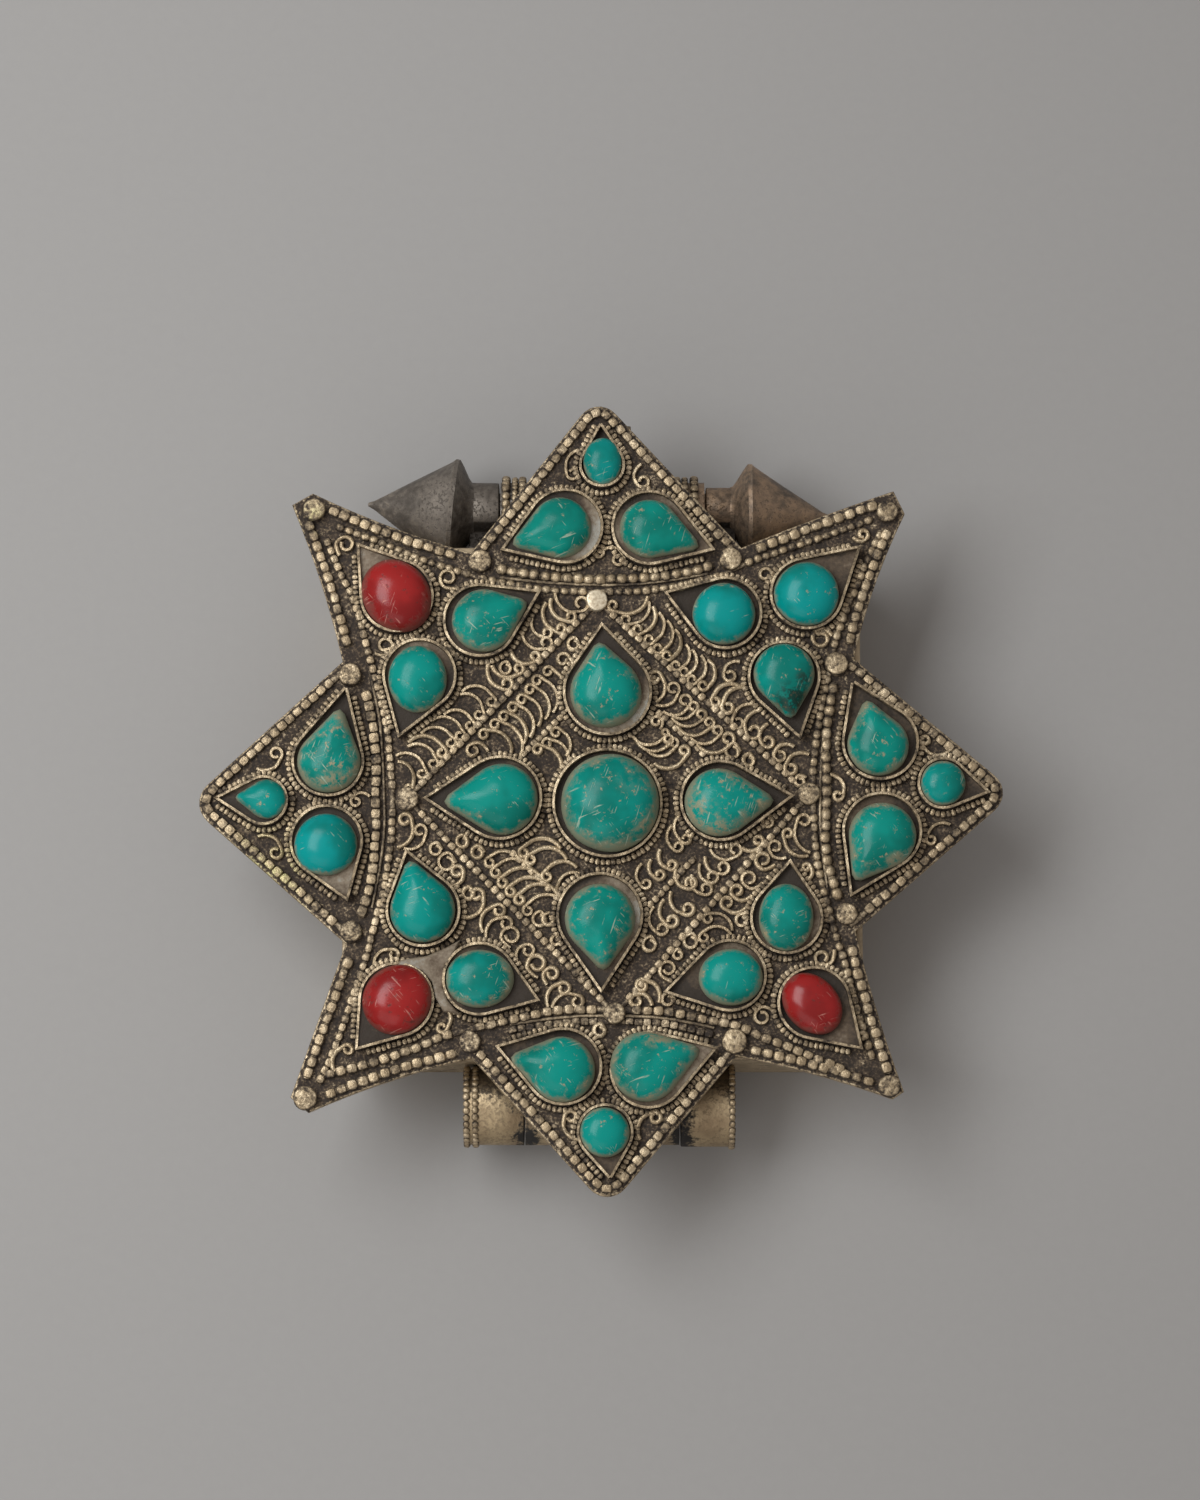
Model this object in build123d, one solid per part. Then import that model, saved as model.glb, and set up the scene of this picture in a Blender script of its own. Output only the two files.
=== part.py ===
from build123d import *
from math import acos, asin, atan2, cos, degrees, sin, sqrt
import os

os.makedirs("parts", exist_ok=True)

# Star plate. The face is laid out for a reach of 50 mm and follows the reach.
tip_reach = 50.0
face_scale = tip_reach / 50.0
tip_round = 2.2 * face_scale
notch_along = 16.6 * face_scale
notch_out = 32.0 * face_scale
corner_far = 38.7 * face_scale
corner_near = 36.5 * face_scale
edge_bow = 0.75 * face_scale
plate_thickness = 1.2

# Tray, standing on z = 0 with the stones upwards.
box_half = 32.4 * face_scale
box_depth = 16.0
box_round = 2.0
wall_thickness = 0.9
back_thickness = 1.0
lid_gap = 0.3

# Rim of the lid inside the box. It stops short of the hinge side so that it can swing out.
flange_gap = 0.3
flange_thickness = 0.8
flange_depth = 3.8
flange_end = 20.0 * face_scale

# Upper tube: the hinge and its cones.
hinge_height = box_depth / 2 + 0.5
pin_radius = 2.2
pin_wall = 0.7
solder_gap = 0.01
running_gap = 0.05
end_gap = 0.2
sleeve_wall = 1.35
neck_wall = 0.75
sleeve_half = 13.0
neck_end = 17.0
cone_base_at = 18.4
cone_base_radius = 6.2
cone_tip_at = 29.0
cone_wall = 0.7
cone_clear = 0.2
ring_wire = 0.3
sleeve_ring_inset = (2.6, 1.6, 0.5)

# Lower tube: the clasp, open for a cord or a closing pin.
clasp_height = hinge_height
clasp_bore = 3.05
clasp_wall = 1.35
clasp_clear = 0.8
clasp_sleeve_half = 9.6
clasp_end = 17.0
clasp_left_ring_inset = (1.6, 0.5)
clasp_right_ring_inset = (0.5,)

# Leaves that fasten the tubes to the wall and to the plate.
leaf_thickness = 0.8
leaf_half_height = 5.0
web_half_height = 1.5
lid_leaf_inset = 0.6
clasp_web_inset = 2.8

# Strap loop under the top point.
loop_bore = 1.5
loop_wall = 0.6
loop_from = -1.5
loop_to = 3.6
loop_out = 46.4 * face_scale

# Ornament on the plate.
stud_radius = 1.4
stud_height = 1.2
stud_edge = 0.35
stud_gap = 0.25
corner_stud_at = 36.2 * face_scale
notch_stud_along = 15.6 * face_scale
notch_stud_out = 30.2 * face_scale
border_wire = 0.55
tip_wire = 0.5
tip_inset = 0.75
corner_row_mid = (25.4 * face_scale, 32.7 * face_scale)
panel_row_out = 28.1 * face_scale
second_wire = 0.35
second_inset = 1.4 * face_scale
second_radius = 100.0 * face_scale
second_half = {"north": 6.6 * face_scale, "other": 10.0 * face_scale}
second_corner_from = (17.6 * face_scale, 29.4 * face_scale)
second_corner_to = (33.0 * face_scale, 34.1 * face_scale)
diamond_wire = 0.42
bezel_wall = 0.3
bezel_height = 1.9
bedding_height = 0.9
bedding_gap = 0.05
foot_wire = 0.2
foot_gap = 0.05
foot_stop = 0.8
stone_cut = 0.25
stone_tip_share = 0.22
scroll_wire = 0.22
scroll_curl = 0.5
scroll_clear = 0.3
scroll_bow = 0.32
scroll_pitch = 2.6 * face_scale
scroll_width_limit = 4.4 * face_scale
outer_scroll_share = 0.16
inner_scroll_share = 0.38
curl_radius = 0.62 * face_scale
curl_turn = 265

# Values that follow from the ones above.
plate_bottom = box_depth + lid_gap
plate_top = plate_bottom + plate_thickness
sleeve_bore = pin_radius + running_gap
sleeve_radius = sleeve_bore + sleeve_wall
neck_bore = pin_radius + solder_gap
neck_radius = neck_bore + neck_wall
hinge_out = box_half + cone_clear + cone_base_radius
clasp_radius = clasp_bore + clasp_wall
clasp_out = box_half + clasp_clear + clasp_radius
clasp_web_to = clasp_end - clasp_web_inset
lid_leaf_half = clasp_sleeve_half - lid_leaf_inset
loop_radius = loop_bore + loop_wall
sides = {"north": 0, "east": -90, "south": 180, "west": 90}


# Settings: place of the round part, its outer radius, the reach of its point and where the point looks,
# then the stone: its radius, its own reach (none for a round one) and where its long end looks.
def setting(x, y, radius, reach, toward, stone, stone_reach=0.0, stone_toward=0.0, shift=(0.0, 0.0)):
    return {
        "x": x * face_scale,
        "y": y * face_scale,
        "radius": radius * face_scale,
        "reach": reach * face_scale,
        "toward": toward,
        "stone": stone * face_scale,
        "stone_reach": stone_reach * face_scale,
        "stone_toward": stone_toward,
        "shift": (shift[0] * face_scale, shift[1] * face_scale),
    }


centre_setting = setting(0.6, -0.7, 6.75, 0.0, 0, 6.1)
petal_settings = {
    "north": setting(0.6, 13.4, 5.5, 8.6, 95, 4.4, 6.3, 98),
    "east": setting(14.7, -0.4, 5.0, 9.0, 4, 4.2, 6.7, 2),
    "south": setting(-0.4, -14.8, 5.3, 9.0, 271, 4.35, 6.3, 274),
    "west": setting(-12.8, -0.1, 5.2, 9.3, 180, 4.45, 7.1, 182),
}
outer_settings = {
    "north": [
        setting(0.0, 42.4, 2.8, 5.4, 93, 2.35, 3.9, 91),
        setting(-4.7, 34.5, 4.7, 8.45, 201, 3.9, 6.2, 199, (-0.3, -0.1)),
        setting(5.9, 34.3, 4.7, 8.65, 341, 3.7, 6.5, 339),
    ],
    "east": [
        setting(42.3, 1.0, 3.1, 5.8, 352, 2.75),
        setting(34.4, 6.4, 4.4, 8.0, 114, 3.8, 5.7, 104, (-0.1, -0.2)),
        setting(34.6, -4.8, 4.75, 8.8, 244, 4.1, 6.4, 238, (0.0, -0.2)),
    ],
    "south": [
        setting(0.4, -41.7, 3.05, 5.9, 276, 2.65),
        setting(-4.9, -34.0, 4.6, 8.6, 163, 4.05, 6.4, 166, (-0.1, -0.1)),
        setting(5.7, -34.2, 4.65, 8.8, 18, 4.05, 6.7, 18, (-0.2, 0.1)),
    ],
    "west": [
        setting(-42.2, -0.4, 3.0, 6.0, 177, 2.35, 3.7, 177),
        setting(-34.2, 4.6, 4.4, 9.8, 77, 3.85, 6.6, 79),
        setting(-34.3, -5.6, 4.45, 7.9, 290, 3.85, shift=(-0.1, -0.2)),
    ],
    "northeast": [
        setting(25.6, 25.8, 4.5, 9.0, 43, 4.05),
        setting(15.4, 23.4, 4.5, 8.0, 161, 3.85),
        setting(22.7, 15.3, 4.4, 8.0, 283, 3.75, 5.6, 278),
    ],
    "southeast": [
        setting(22.8, -15.1, 4.35, 7.2, 86, 3.4, 4.1, 90),
        setting(15.8, -22.3, 4.4, 8.3, 194, 3.5, 3.9, 180),
        setting(25.9, -25.6, 4.4, 8.1, 316, 3.4, 6.1, 317),
    ],
    "southwest": [
        setting(-22.2, -14.1, 4.5, 7.75, 106, 3.95, 6.3, 105),
        setting(-15.2, -22.7, 4.45, 7.7, 340, 3.55, 4.1, 0),
        setting(-25.4, -25.3, 4.5, 7.75, 231, 4.05, 5.4, 228),
    ],
    "northwest": [
        setting(-15.3, 22.4, 4.55, 8.35, 27, 3.95, 5.8, 24, (0.2, 0.0)),
        setting(-22.9, 15.5, 4.5, 8.2, 252, 3.6, 4.15, 100),
        setting(-25.7, 25.5, 4.55, 8.2, 127, 4.15, 4.9, 127),
    ],
}
coral_corners = ("southeast", "southwest", "northwest")
diamond_stud_at = {
    "north": (-0.7 * face_scale, 25.1 * face_scale),
    "east": (25.3 * face_scale, 0.5 * face_scale),
    "south": (0.6 * face_scale, -25.9 * face_scale),
    "west": (-24.5 * face_scale, 0.0),
}
gap_curl_at = [
    (-4.6, 41.8, 120),
    (4.1, 41.6, 330),
    (0.6, 29.9, 90),
    (-5.0, -41.6, 60),
    (5.3, -41.2, 210),
    (-41.0, 5.6, 20),
    (-40.0, -6.5, 240),
    (40.6, 6.1, 120),
    (41.0, -4.9, 300),
    (-32.4, 31.9, 60),
    (-19.7, 27.2, 150),
    (-28.3, 18.8, 240),
    (20.6, 28.6, 30),
    (28.6, 19.4, 330),
    (28.5, -19.2, 60),
    (20.3, -27.9, 300),
    (-28.4, -18.7, 200),
    (-20.0, -27.6, 270),
]


def save(name, solids):
    export_step(Compound(list(solids)), f"parts/{name}.step")


def turned(solid, angle):
    return Rot(0, 0, angle) * solid


def drop_face(radius, reach):
    if reach <= radius:
        return Face(Wire(Circle(radius).edges()))
    touch = acos(radius / reach)
    upper = (radius * cos(touch), radius * sin(touch))
    lower = (upper[0], -upper[1])
    outline = [Line((reach, 0), upper), ThreePointArc(upper, (-radius, 0), lower), Line(lower, (reach, 0))]
    return Face(Wire(outline))


def inset_drop(radius, reach, inset):
    return drop_face(radius - inset, reach * (radius - inset) / radius)


def wire_along(path, radius):
    return sweep(Plane(origin=path @ 0, z_dir=path % 0) * Circle(radius), path=path)


def placed(item, solid, height):
    return Pos(item["x"], item["y"], height) * Rot(0, 0, item["toward"]) * solid


def bezel(item):
    strip = drop_face(item["radius"], item["reach"]) - inset_drop(item["radius"], item["reach"], bezel_wall)
    return placed(item, extrude(strip, bezel_height), plate_top)


def bedding(item):
    inside = inset_drop(item["radius"], item["reach"], bezel_wall + bedding_gap)
    return placed(item, extrude(inside, bedding_height), plate_top)


def foot(item):
    radius = item["radius"] + foot_gap + foot_wire
    height = plate_top + foot_wire
    if item["reach"] <= item["radius"]:
        return Pos(item["x"], item["y"], height) * Torus(radius, foot_wire)
    reach = item["reach"] * radius / item["radius"]
    touch = acos(radius / reach)
    upper = Vector(radius * cos(touch), radius * sin(touch))
    lower = Vector(upper.X, -upper.Y)
    point = Vector(reach, 0)
    path = Wire([
        Line(upper + (point - upper) * foot_stop, upper),
        ThreePointArc(upper, (-radius, 0), lower),
        Line(lower, lower + (point - lower) * foot_stop),
    ])
    return placed(item, wire_along(path, foot_wire), height)


def cabochon(item):
    radius = item["stone"]
    reach = item["stone_reach"]
    if reach <= radius:
        body = Sphere(radius)
    else:
        tip = radius * stone_tip_share
        if reach < 1.25 * radius:
            tip = radius * 0.8
        lean = acos((radius - tip) / (reach - tip))
        shoulder = (radius * cos(lean), radius * sin(lean))
        end = (reach - tip + tip * cos(lean), tip * sin(lean))
        mid_end = (reach - tip + tip * cos(lean / 2), tip * sin(lean / 2))
        back = (-radius * sin(lean / 2), radius * cos(lean / 2))
        half = Face(Wire([
            ThreePointArc((-radius, 0), back, shoulder),
            Line(shoulder, end),
            ThreePointArc(end, mid_end, (reach, 0)),
            Line((reach, 0), (-radius, 0)),
        ]))
        body = revolve(half, Axis.X)
    cut = radius * stone_cut
    body = split(body, bisect_by=Plane.XY.offset(cut), keep=Keep.TOP)
    x = item["x"] + item["shift"][0]
    y = item["y"] + item["shift"][1]
    return Pos(x, y, plate_top + bedding_height - cut) * Rot(0, 0, item["stone_toward"]) * body


def tangent_point(outside, centre, radius, side):
    away = Vector(outside) - Vector(centre)
    angle = acos(radius / away.length)
    return Vector(centre) + away.normalized().rotate(Axis.Z, side * degrees(angle)) * radius


def between(start, end, bow):
    chord = Vector(end) - Vector(start)
    normal = chord.normalized().rotate(Axis.Z, 90)
    return (Vector(start) + Vector(end)) * 0.5 + normal * bow


def star_outline():
    edges = []
    tip_centre = Vector(0, tip_reach - tip_round)
    left = Vector(-notch_along, notch_out)
    right = Vector(notch_along, notch_out)
    tip_left = tangent_point(left, tip_centre, tip_round, -1)
    tip_right = tangent_point(right, tip_centre, tip_round, 1)
    corner_a = Vector(corner_near, corner_far)
    corner_b = Vector(corner_far, corner_near)
    next_left = Vector(notch_out, notch_along)
    quarter = [
        Line(left, tip_left),
        ThreePointArc(tip_left, (0, tip_reach), tip_right),
        Line(tip_right, right),
        ThreePointArc(right, between(right, corner_a, -edge_bow), corner_a),
        Line(corner_a, corner_b),
        ThreePointArc(corner_b, between(corner_b, next_left, -edge_bow), next_left),
    ]
    for angle in sides.values():
        edges += [edge.rotate(Axis.Z, angle) for edge in quarter]
    return Face(Wire(edges))


def stud(x, y):
    disc = Cylinder(stud_radius, stud_height, align=(Align.CENTER, Align.CENTER, Align.MIN))
    disc = fillet(disc.edges().group_by(Axis.Z)[-1], stud_edge)
    return Pos(x, y, plate_top) * disc


def tube(length_from, length_to, outer, inner):
    ring = Circle(outer) - Circle(inner)
    return Pos(length_from, 0, 0) * extrude(Plane.YZ * ring, length_to - length_from)


def block(low, high):
    size = [b - a for a, b in zip(low, high)]
    middle = [(a + b) / 2 for a, b in zip(low, high)]
    return Pos(*middle) * Box(*size)


# Tray
back_plate = extrude(RectangleRounded(2 * box_half, 2 * box_half, box_round), back_thickness)
wall_inside = box_half - wall_thickness
wall_ring = RectangleRounded(2 * box_half, 2 * box_half, box_round)
wall_ring -= RectangleRounded(2 * wall_inside, 2 * wall_inside, box_round - wall_thickness)
box_wall = Pos(0, 0, back_thickness) * extrude(wall_ring, box_depth - back_thickness)
save("back_plate", [back_plate])
save("box_wall", [box_wall])


# A tube on the tray with a leaf on the wall, along X, fastened on the +Y side of the box.
def wall_knuckle(x_from, x_to, web_to, out, height, outer, inner):
    knuckle = Pos(0, out, height) * tube(x_from, x_to, outer, 0.5 * inner)
    web = block((x_from, box_half, height - web_half_height), (web_to, out, height + web_half_height))
    leaf_end = box_half + leaf_thickness
    leaf = block((x_from, box_half, height - leaf_half_height), (web_to, leaf_end, height + leaf_half_height))
    bore = Pos((x_from + x_to) / 2, out, height) * Rot(0, 90, 0) * Cylinder(inner, 2 * abs(x_to - x_from))
    return knuckle + web + leaf - bore


neck_from = sleeve_half + end_gap
right_neck = wall_knuckle(neck_from, neck_end, neck_end, hinge_out, hinge_height, neck_radius, neck_bore)
save("right_hinge_knuckle", [right_neck])
save("left_hinge_knuckle", [mirror(right_neck, Plane.YZ)])

hinge_pin = Pos(0, hinge_out, hinge_height) * tube(-neck_end, neck_end, pin_radius, pin_radius - pin_wall)
save("hinge_pin", [hinge_pin])

flare = (cone_base_at - 0.3 * (cone_base_at - neck_end), neck_radius + 0.3 * (cone_base_radius - neck_radius))
cone_half = Face(Wire([
    ThreePointArc((neck_end, neck_radius), flare, (cone_base_at, cone_base_radius)),
    Line((cone_base_at, cone_base_radius), (cone_tip_at, 0)),
    Line((cone_tip_at, 0), (cone_tip_at - 1.7 * cone_wall, 0)),
    Line((cone_tip_at - 1.7 * cone_wall, 0), (cone_base_at + cone_wall, cone_base_radius - 1.7 * cone_wall)),
    Line((cone_base_at + cone_wall, cone_base_radius - 1.7 * cone_wall), (cone_base_at, neck_radius)),
    Line((cone_base_at, neck_radius), (neck_end, neck_radius - cone_wall)),
    Line((neck_end, neck_radius - cone_wall), (neck_end, neck_radius)),
]))
right_cone = Pos(0, hinge_out, hinge_height) * revolve(cone_half, Axis.X)
save("right_cone_finial", [right_cone])
save("left_cone_finial", [mirror(right_cone, Plane.YZ)])

clasp_from = clasp_sleeve_half + end_gap
clasp_knuckle = wall_knuckle(clasp_from, clasp_end, clasp_web_to, clasp_out, clasp_height, clasp_radius, clasp_bore)
save("right_clasp_knuckle", [mirror(clasp_knuckle, Plane.XZ)])
save("left_clasp_knuckle", [turned(clasp_knuckle, 180)])


def collar(x, out, height, radius):
    return Pos(x, out, height) * Rot(0, 90, 0) * Torus(radius + ring_wire + solder_gap, ring_wire)


clasp_ring_places = [inset - clasp_end for inset in clasp_left_ring_inset]
clasp_ring_places += [clasp_end - inset for inset in clasp_right_ring_inset]
save("clasp_rings", [collar(x, -clasp_out, clasp_height, clasp_radius) for x in clasp_ring_places])

# Lid
save("star_plate", [Pos(0, 0, plate_bottom) * extrude(star_outline(), plate_thickness, dir=(0, 0, 1))])

flange_half = box_half - wall_thickness - flange_gap
flange_inside = flange_half - flange_thickness
flange_ring = RectangleRounded(2 * flange_half, 2 * flange_half, box_round - wall_thickness)
flange_ring -= Rectangle(2 * flange_inside, 2 * flange_inside)
flange_ring -= Pos(0, flange_end + box_half) * Rectangle(3 * box_half, 2 * box_half)
save("lid_flange", [Pos(0, 0, plate_bottom - flange_depth) * extrude(flange_ring, flange_depth)])


# The middle tube on the lid, with a leaf up to the plate, on the +Y side of the box.
def plate_knuckle(half, out, height, outer, inner):
    knuckle = Pos(0, out, height) * tube(-half, half, outer, 0.5 * inner)
    near = out - outer
    leaf = block((-lid_leaf_half, near, height), (lid_leaf_half, near + leaf_thickness, plate_bottom))
    bore = Pos(0, out, height) * Rot(0, 90, 0) * Cylinder(inner, 4 * half)
    return knuckle + leaf - bore


save("hinge_sleeve", [plate_knuckle(sleeve_half, hinge_out, hinge_height, sleeve_radius, sleeve_bore)])
sleeve_ring_places = [side * (sleeve_half - inset) for side in (-1, 1) for inset in sleeve_ring_inset]
save("sleeve_rings", [collar(x, hinge_out, hinge_height, sleeve_radius) for x in sleeve_ring_places])
clasp_sleeve = plate_knuckle(clasp_sleeve_half, clasp_out, clasp_height, clasp_radius, clasp_bore)
save("clasp_sleeve", [turned(clasp_sleeve, 180)])

loop_height = plate_bottom - loop_radius
loop = Pos(0, loop_out, loop_height) * tube(loop_from, loop_to, loop_radius, 0.5 * loop_bore)
loop += block((loop_from, loop_out - loop_radius, plate_bottom - loop_wall), (loop_to, loop_out, plate_bottom))
loop -= Pos(0, loop_out, loop_height) * Rot(0, 90, 0) * Cylinder(loop_bore, 8 * loop_to)
save("hanging_loop", [loop])

notch_studs = []
for angle in sides.values():
    for along in (-notch_stud_along, notch_stud_along):
        notch_studs.append(turned(stud(along, notch_stud_out), angle))
save("notch_studs", notch_studs)
save("corner_studs", [turned(stud(corner_stud_at, corner_stud_at), angle) for angle in sides.values()])
save("diamond_studs", [stud(*place) for place in diamond_stud_at.values()])


def shortened(start, end):
    step = (Vector(end) - Vector(start)).normalized() * (stud_radius + stud_gap)
    return Vector(start) + step, Vector(end) - step


def arc_wire(start, middle, end, radius):
    path = ThreePointArc(start, middle, end)
    return Pos(0, 0, plate_top + radius) * wire_along(path, radius)


# One wire round each point of the star, from notch stud to notch stud.
border_round = tip_round - tip_inset
border_centre = Vector(0, tip_reach - tip_round)
border_foot = Vector(notch_along, notch_out) - border_centre
edge_lean = degrees(acos(tip_round / border_foot.length))
edge_normal = border_foot.normalized().rotate(Axis.Z, edge_lean)
border_start = border_centre + edge_normal * border_round
edge_along = edge_normal.rotate(Axis.Z, -90)
border_length = border_foot.dot(edge_along) - stud_radius - stud_gap - tip_wire
border_end = border_start + edge_along * border_length
tip_path = Wire([
    Line(border_end, border_start),
    ThreePointArc(border_start, (0, tip_reach - tip_inset), (-border_start.X, border_start.Y)),
    Line((-border_start.X, border_start.Y), (-border_end.X, border_end.Y)),
])
tip_border = Pos(0, 0, plate_top + tip_wire) * wire_along(tip_path, tip_wire)
save("tip_bead_wires", [turned(tip_border, angle) for angle in sides.values()])

# Two rows on each side of each corner: the border itself and a finer row inside it.
notch_place = (notch_stud_along, notch_stud_out)
corner_place = (corner_stud_at, corner_stud_at)
row_start, row_end = shortened(notch_place, corner_place)
first_row = arc_wire(row_start, corner_row_mid, row_end, border_wire)
second_mid = between(second_corner_from, second_corner_to, -0.5 * edge_bow)
second_row = arc_wire(second_corner_from, second_mid, second_corner_to, second_wire)
corner_rows = []
for angle in sides.values():
    for row in (first_row, second_row):
        corner_rows.append(turned(row, angle))
        corner_rows.append(turned(mirror(row, Plane.YZ), angle))
save("corner_bead_wires", corner_rows)

# Two rows along each side of the square panel, under the points of the star. The finer one is cut at the stud.
panel_start, panel_end = shortened((-notch_stud_along, notch_stud_out), notch_place)
panel_row = arc_wire(panel_start, (0, panel_row_out), panel_end, border_wire)
second_out = panel_row_out - second_inset


def second_point(along):
    return Vector(along, second_out + along * along / (2 * second_radius))


panel_rows = []
for side, angle in sides.items():
    panel_rows.append(turned(panel_row, angle))
    half = second_half.get(side, second_half["other"])
    stud_along = Vector(diamond_stud_at[side]).rotate(Axis.Z, -angle).X
    for first, last in ((-half, stud_along - stud_radius - second_wire), (stud_along + stud_radius + second_wire, half)):
        piece = arc_wire(second_point(first), second_point((first + last) / 2), second_point(last), second_wire)
        panel_rows.append(turned(piece, angle))
save("panel_bead_wires", panel_rows)

# The inner diamond and the scrolls on both sides of its wires.
diamond_sides = [("north", "east"), ("east", "south"), ("south", "west"), ("west", "north")]
diamond_wires = []
for first, second in diamond_sides:
    start, end = shortened(diamond_stud_at[first], diamond_stud_at[second])
    diamond_wires.append(Pos(0, 0, plate_top + diamond_wire) * wire_along(Line(start, end), diamond_wire))
save("diamond_bead_wires", diamond_wires)


# Free width beside a diamond wire, over a stretch of it, up to the foot of the nearest setting.
def free_width(start, along, outward, stretch, items):
    width = scroll_width_limit
    for item in items:
        offset = Vector(item["x"], item["y"]) - Vector(start)
        radius = item["radius"] + foot_gap + 2 * foot_wire
        beyond = max(stretch[0] - offset.dot(along), offset.dot(along) - stretch[1], 0)
        if beyond < radius:
            width = min(width, offset.dot(outward) - sqrt(radius * radius - beyond * beyond))
    return width


def scroll(reach):
    bow = scroll_bow * reach
    radius = (reach * reach / 4 + bow * bow) / (2 * bow)
    lean = degrees(asin(reach / 2 / radius))
    start = Vector(0, reach)
    main = JernArc(start, Vector(1, 0).rotate(Axis.Z, lean - 90), radius, -2 * lean)
    curl = JernArc(main @ 1, main % 1, scroll_curl, -200)
    return wire_along(Wire([main, curl]), scroll_wire)


def scroll_row(start, end, side, share, items):
    along = (end - start).normalized()
    outward = along.rotate(Axis.Z, 90 * side)
    length = (end - start).length
    stretch = (share * length, (1 - share) * length)
    base = diamond_wire + scroll_clear + scroll_curl * 0.6
    reach = free_width(start, along, outward, stretch, items) - base - scroll_wire - scroll_clear
    count = int((stretch[1] - stretch[0]) / scroll_pitch) + 1
    step = (stretch[1] - stretch[0]) / (count - 1)
    shape = scroll(reach) if side > 0 else mirror(scroll(reach), Plane.XZ)
    angle = degrees(atan2(along.Y, along.X))
    row = []
    for index in range(count):
        place = start + along * (stretch[0] + index * step) + outward * base
        row.append(Pos(place.X, place.Y, plate_top + scroll_wire) * turned(shape, angle))
    return row


corner_of_side = ["northeast", "southeast", "southwest", "northwest"]
outer_scrolls = []
inner_scrolls = []
for (first, second), corner in zip(diamond_sides, corner_of_side):
    start = Vector(diamond_stud_at[first])
    end = Vector(diamond_stud_at[second])
    outer_scrolls += scroll_row(start, end, 1, outer_scroll_share, outer_settings[corner])
    petals = [petal_settings[first], petal_settings[second]]
    inner_scrolls += scroll_row(start, end, -1, inner_scroll_share, petals)
save("outer_filigree", outer_scrolls)
save("inner_filigree", inner_scrolls)

curl_path = JernArc((curl_radius, 0), (0, 1), curl_radius, curl_turn)
curl = wire_along(curl_path, scroll_wire)
gap_curls = []
for x, y, angle in gap_curl_at:
    gap_curls.append(Pos(x * face_scale, y * face_scale, plate_top + scroll_wire) * turned(curl, angle))
save("gap_curls", gap_curls)

# Settings and stones
groups = {"centre": [centre_setting], "petal": list(petal_settings.values())}
groups.update(outer_settings)
every_setting = [item for items in groups.values() for item in items]
for name, items in groups.items():
    ending = "" if len(items) == 1 else "s"
    save(f"{name}_bezel{ending}", [bezel(item) for item in items])
    stones = [cabochon(item) for item in items]
    if name in coral_corners:
        save(f"{name}_coral", stones[-1:])
        stones = stones[:-1]
    save(f"{name}_turquoise{ending}", stones)
save("bezel_foot_wires", [foot(item) for item in every_setting])
save("stone_bedding", [bedding(item) for item in every_setting])
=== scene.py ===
import math
import random

import bmesh
import bpy
from bmesh.types import BMEdge, BMFace, BMVert
from mathutils import Matrix, Vector, noise
from mathutils.geometry import interpolate_bezier


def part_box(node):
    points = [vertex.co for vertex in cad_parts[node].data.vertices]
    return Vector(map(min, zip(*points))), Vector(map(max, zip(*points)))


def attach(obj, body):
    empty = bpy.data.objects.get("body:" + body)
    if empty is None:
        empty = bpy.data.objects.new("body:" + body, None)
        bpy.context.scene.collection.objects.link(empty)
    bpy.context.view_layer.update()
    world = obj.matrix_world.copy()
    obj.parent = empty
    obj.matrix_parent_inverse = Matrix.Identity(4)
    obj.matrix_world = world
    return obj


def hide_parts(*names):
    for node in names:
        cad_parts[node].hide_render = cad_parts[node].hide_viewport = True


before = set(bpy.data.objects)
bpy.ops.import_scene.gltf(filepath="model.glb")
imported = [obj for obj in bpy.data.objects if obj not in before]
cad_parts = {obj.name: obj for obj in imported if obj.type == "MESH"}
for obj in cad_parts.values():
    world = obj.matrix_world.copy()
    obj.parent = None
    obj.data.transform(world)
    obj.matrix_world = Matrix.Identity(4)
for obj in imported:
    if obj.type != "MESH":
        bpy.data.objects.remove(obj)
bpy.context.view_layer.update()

noise.seed_set(7)  # without it the drift of the pieces differs from run to run
mm = 0.001
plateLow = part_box("star_plate")[0].z
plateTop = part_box("star_plate")[1].z


def axisOf(node):
    low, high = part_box(node)
    return (low.y + high.y) / 2, (low.z + high.z) / 2


hingeY, hingeZ = axisOf("hinge_pin")
claspY, claspZ = axisOf("clasp_rings")
print("frame: plate top at %.1f mm, hinge line at y %.1f mm" % (plateTop / mm, hingeY / mm))


def flat(spot, height=0.0):
    return Vector((spot[0] * mm, spot[1] * mm, height))


def linked(name, data):
    made = bpy.data.objects.new(name, data)
    bpy.context.scene.collection.objects.link(made)
    return made


# camera, nearly straight above and leaning a little to the lower side of the face
shot = {
    "aim": (-0.31, 6.25),  # mm on the plate, under the middle of the picture
    "lean": 9.6,  # degrees off the vertical
    "away": 600,  # mm
    "frameHeight": 187.5,  # mm of the plate seen from top to bottom
    "sensor": 36,  # mm
    "nearest": 10,  # mm
}


def makeCamera():
    data = bpy.data.cameras.new("camera")
    camera = linked("camera", data)
    lean = math.radians(shot["lean"])
    away = Vector((0, -math.sin(lean), math.cos(lean))) * shot["away"] * mm
    camera.location = flat(shot["aim"], plateTop) + away
    camera.rotation_euler = (lean, 0, 0)
    data.sensor_fit = "VERTICAL"
    data.sensor_height = shot["sensor"]
    data.lens = shot["sensor"] * shot["away"] / shot["frameHeight"]
    data.clip_start = shot["nearest"] * mm
    bpy.context.scene.camera = camera


makeCamera()
print("camera: set")


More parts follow.
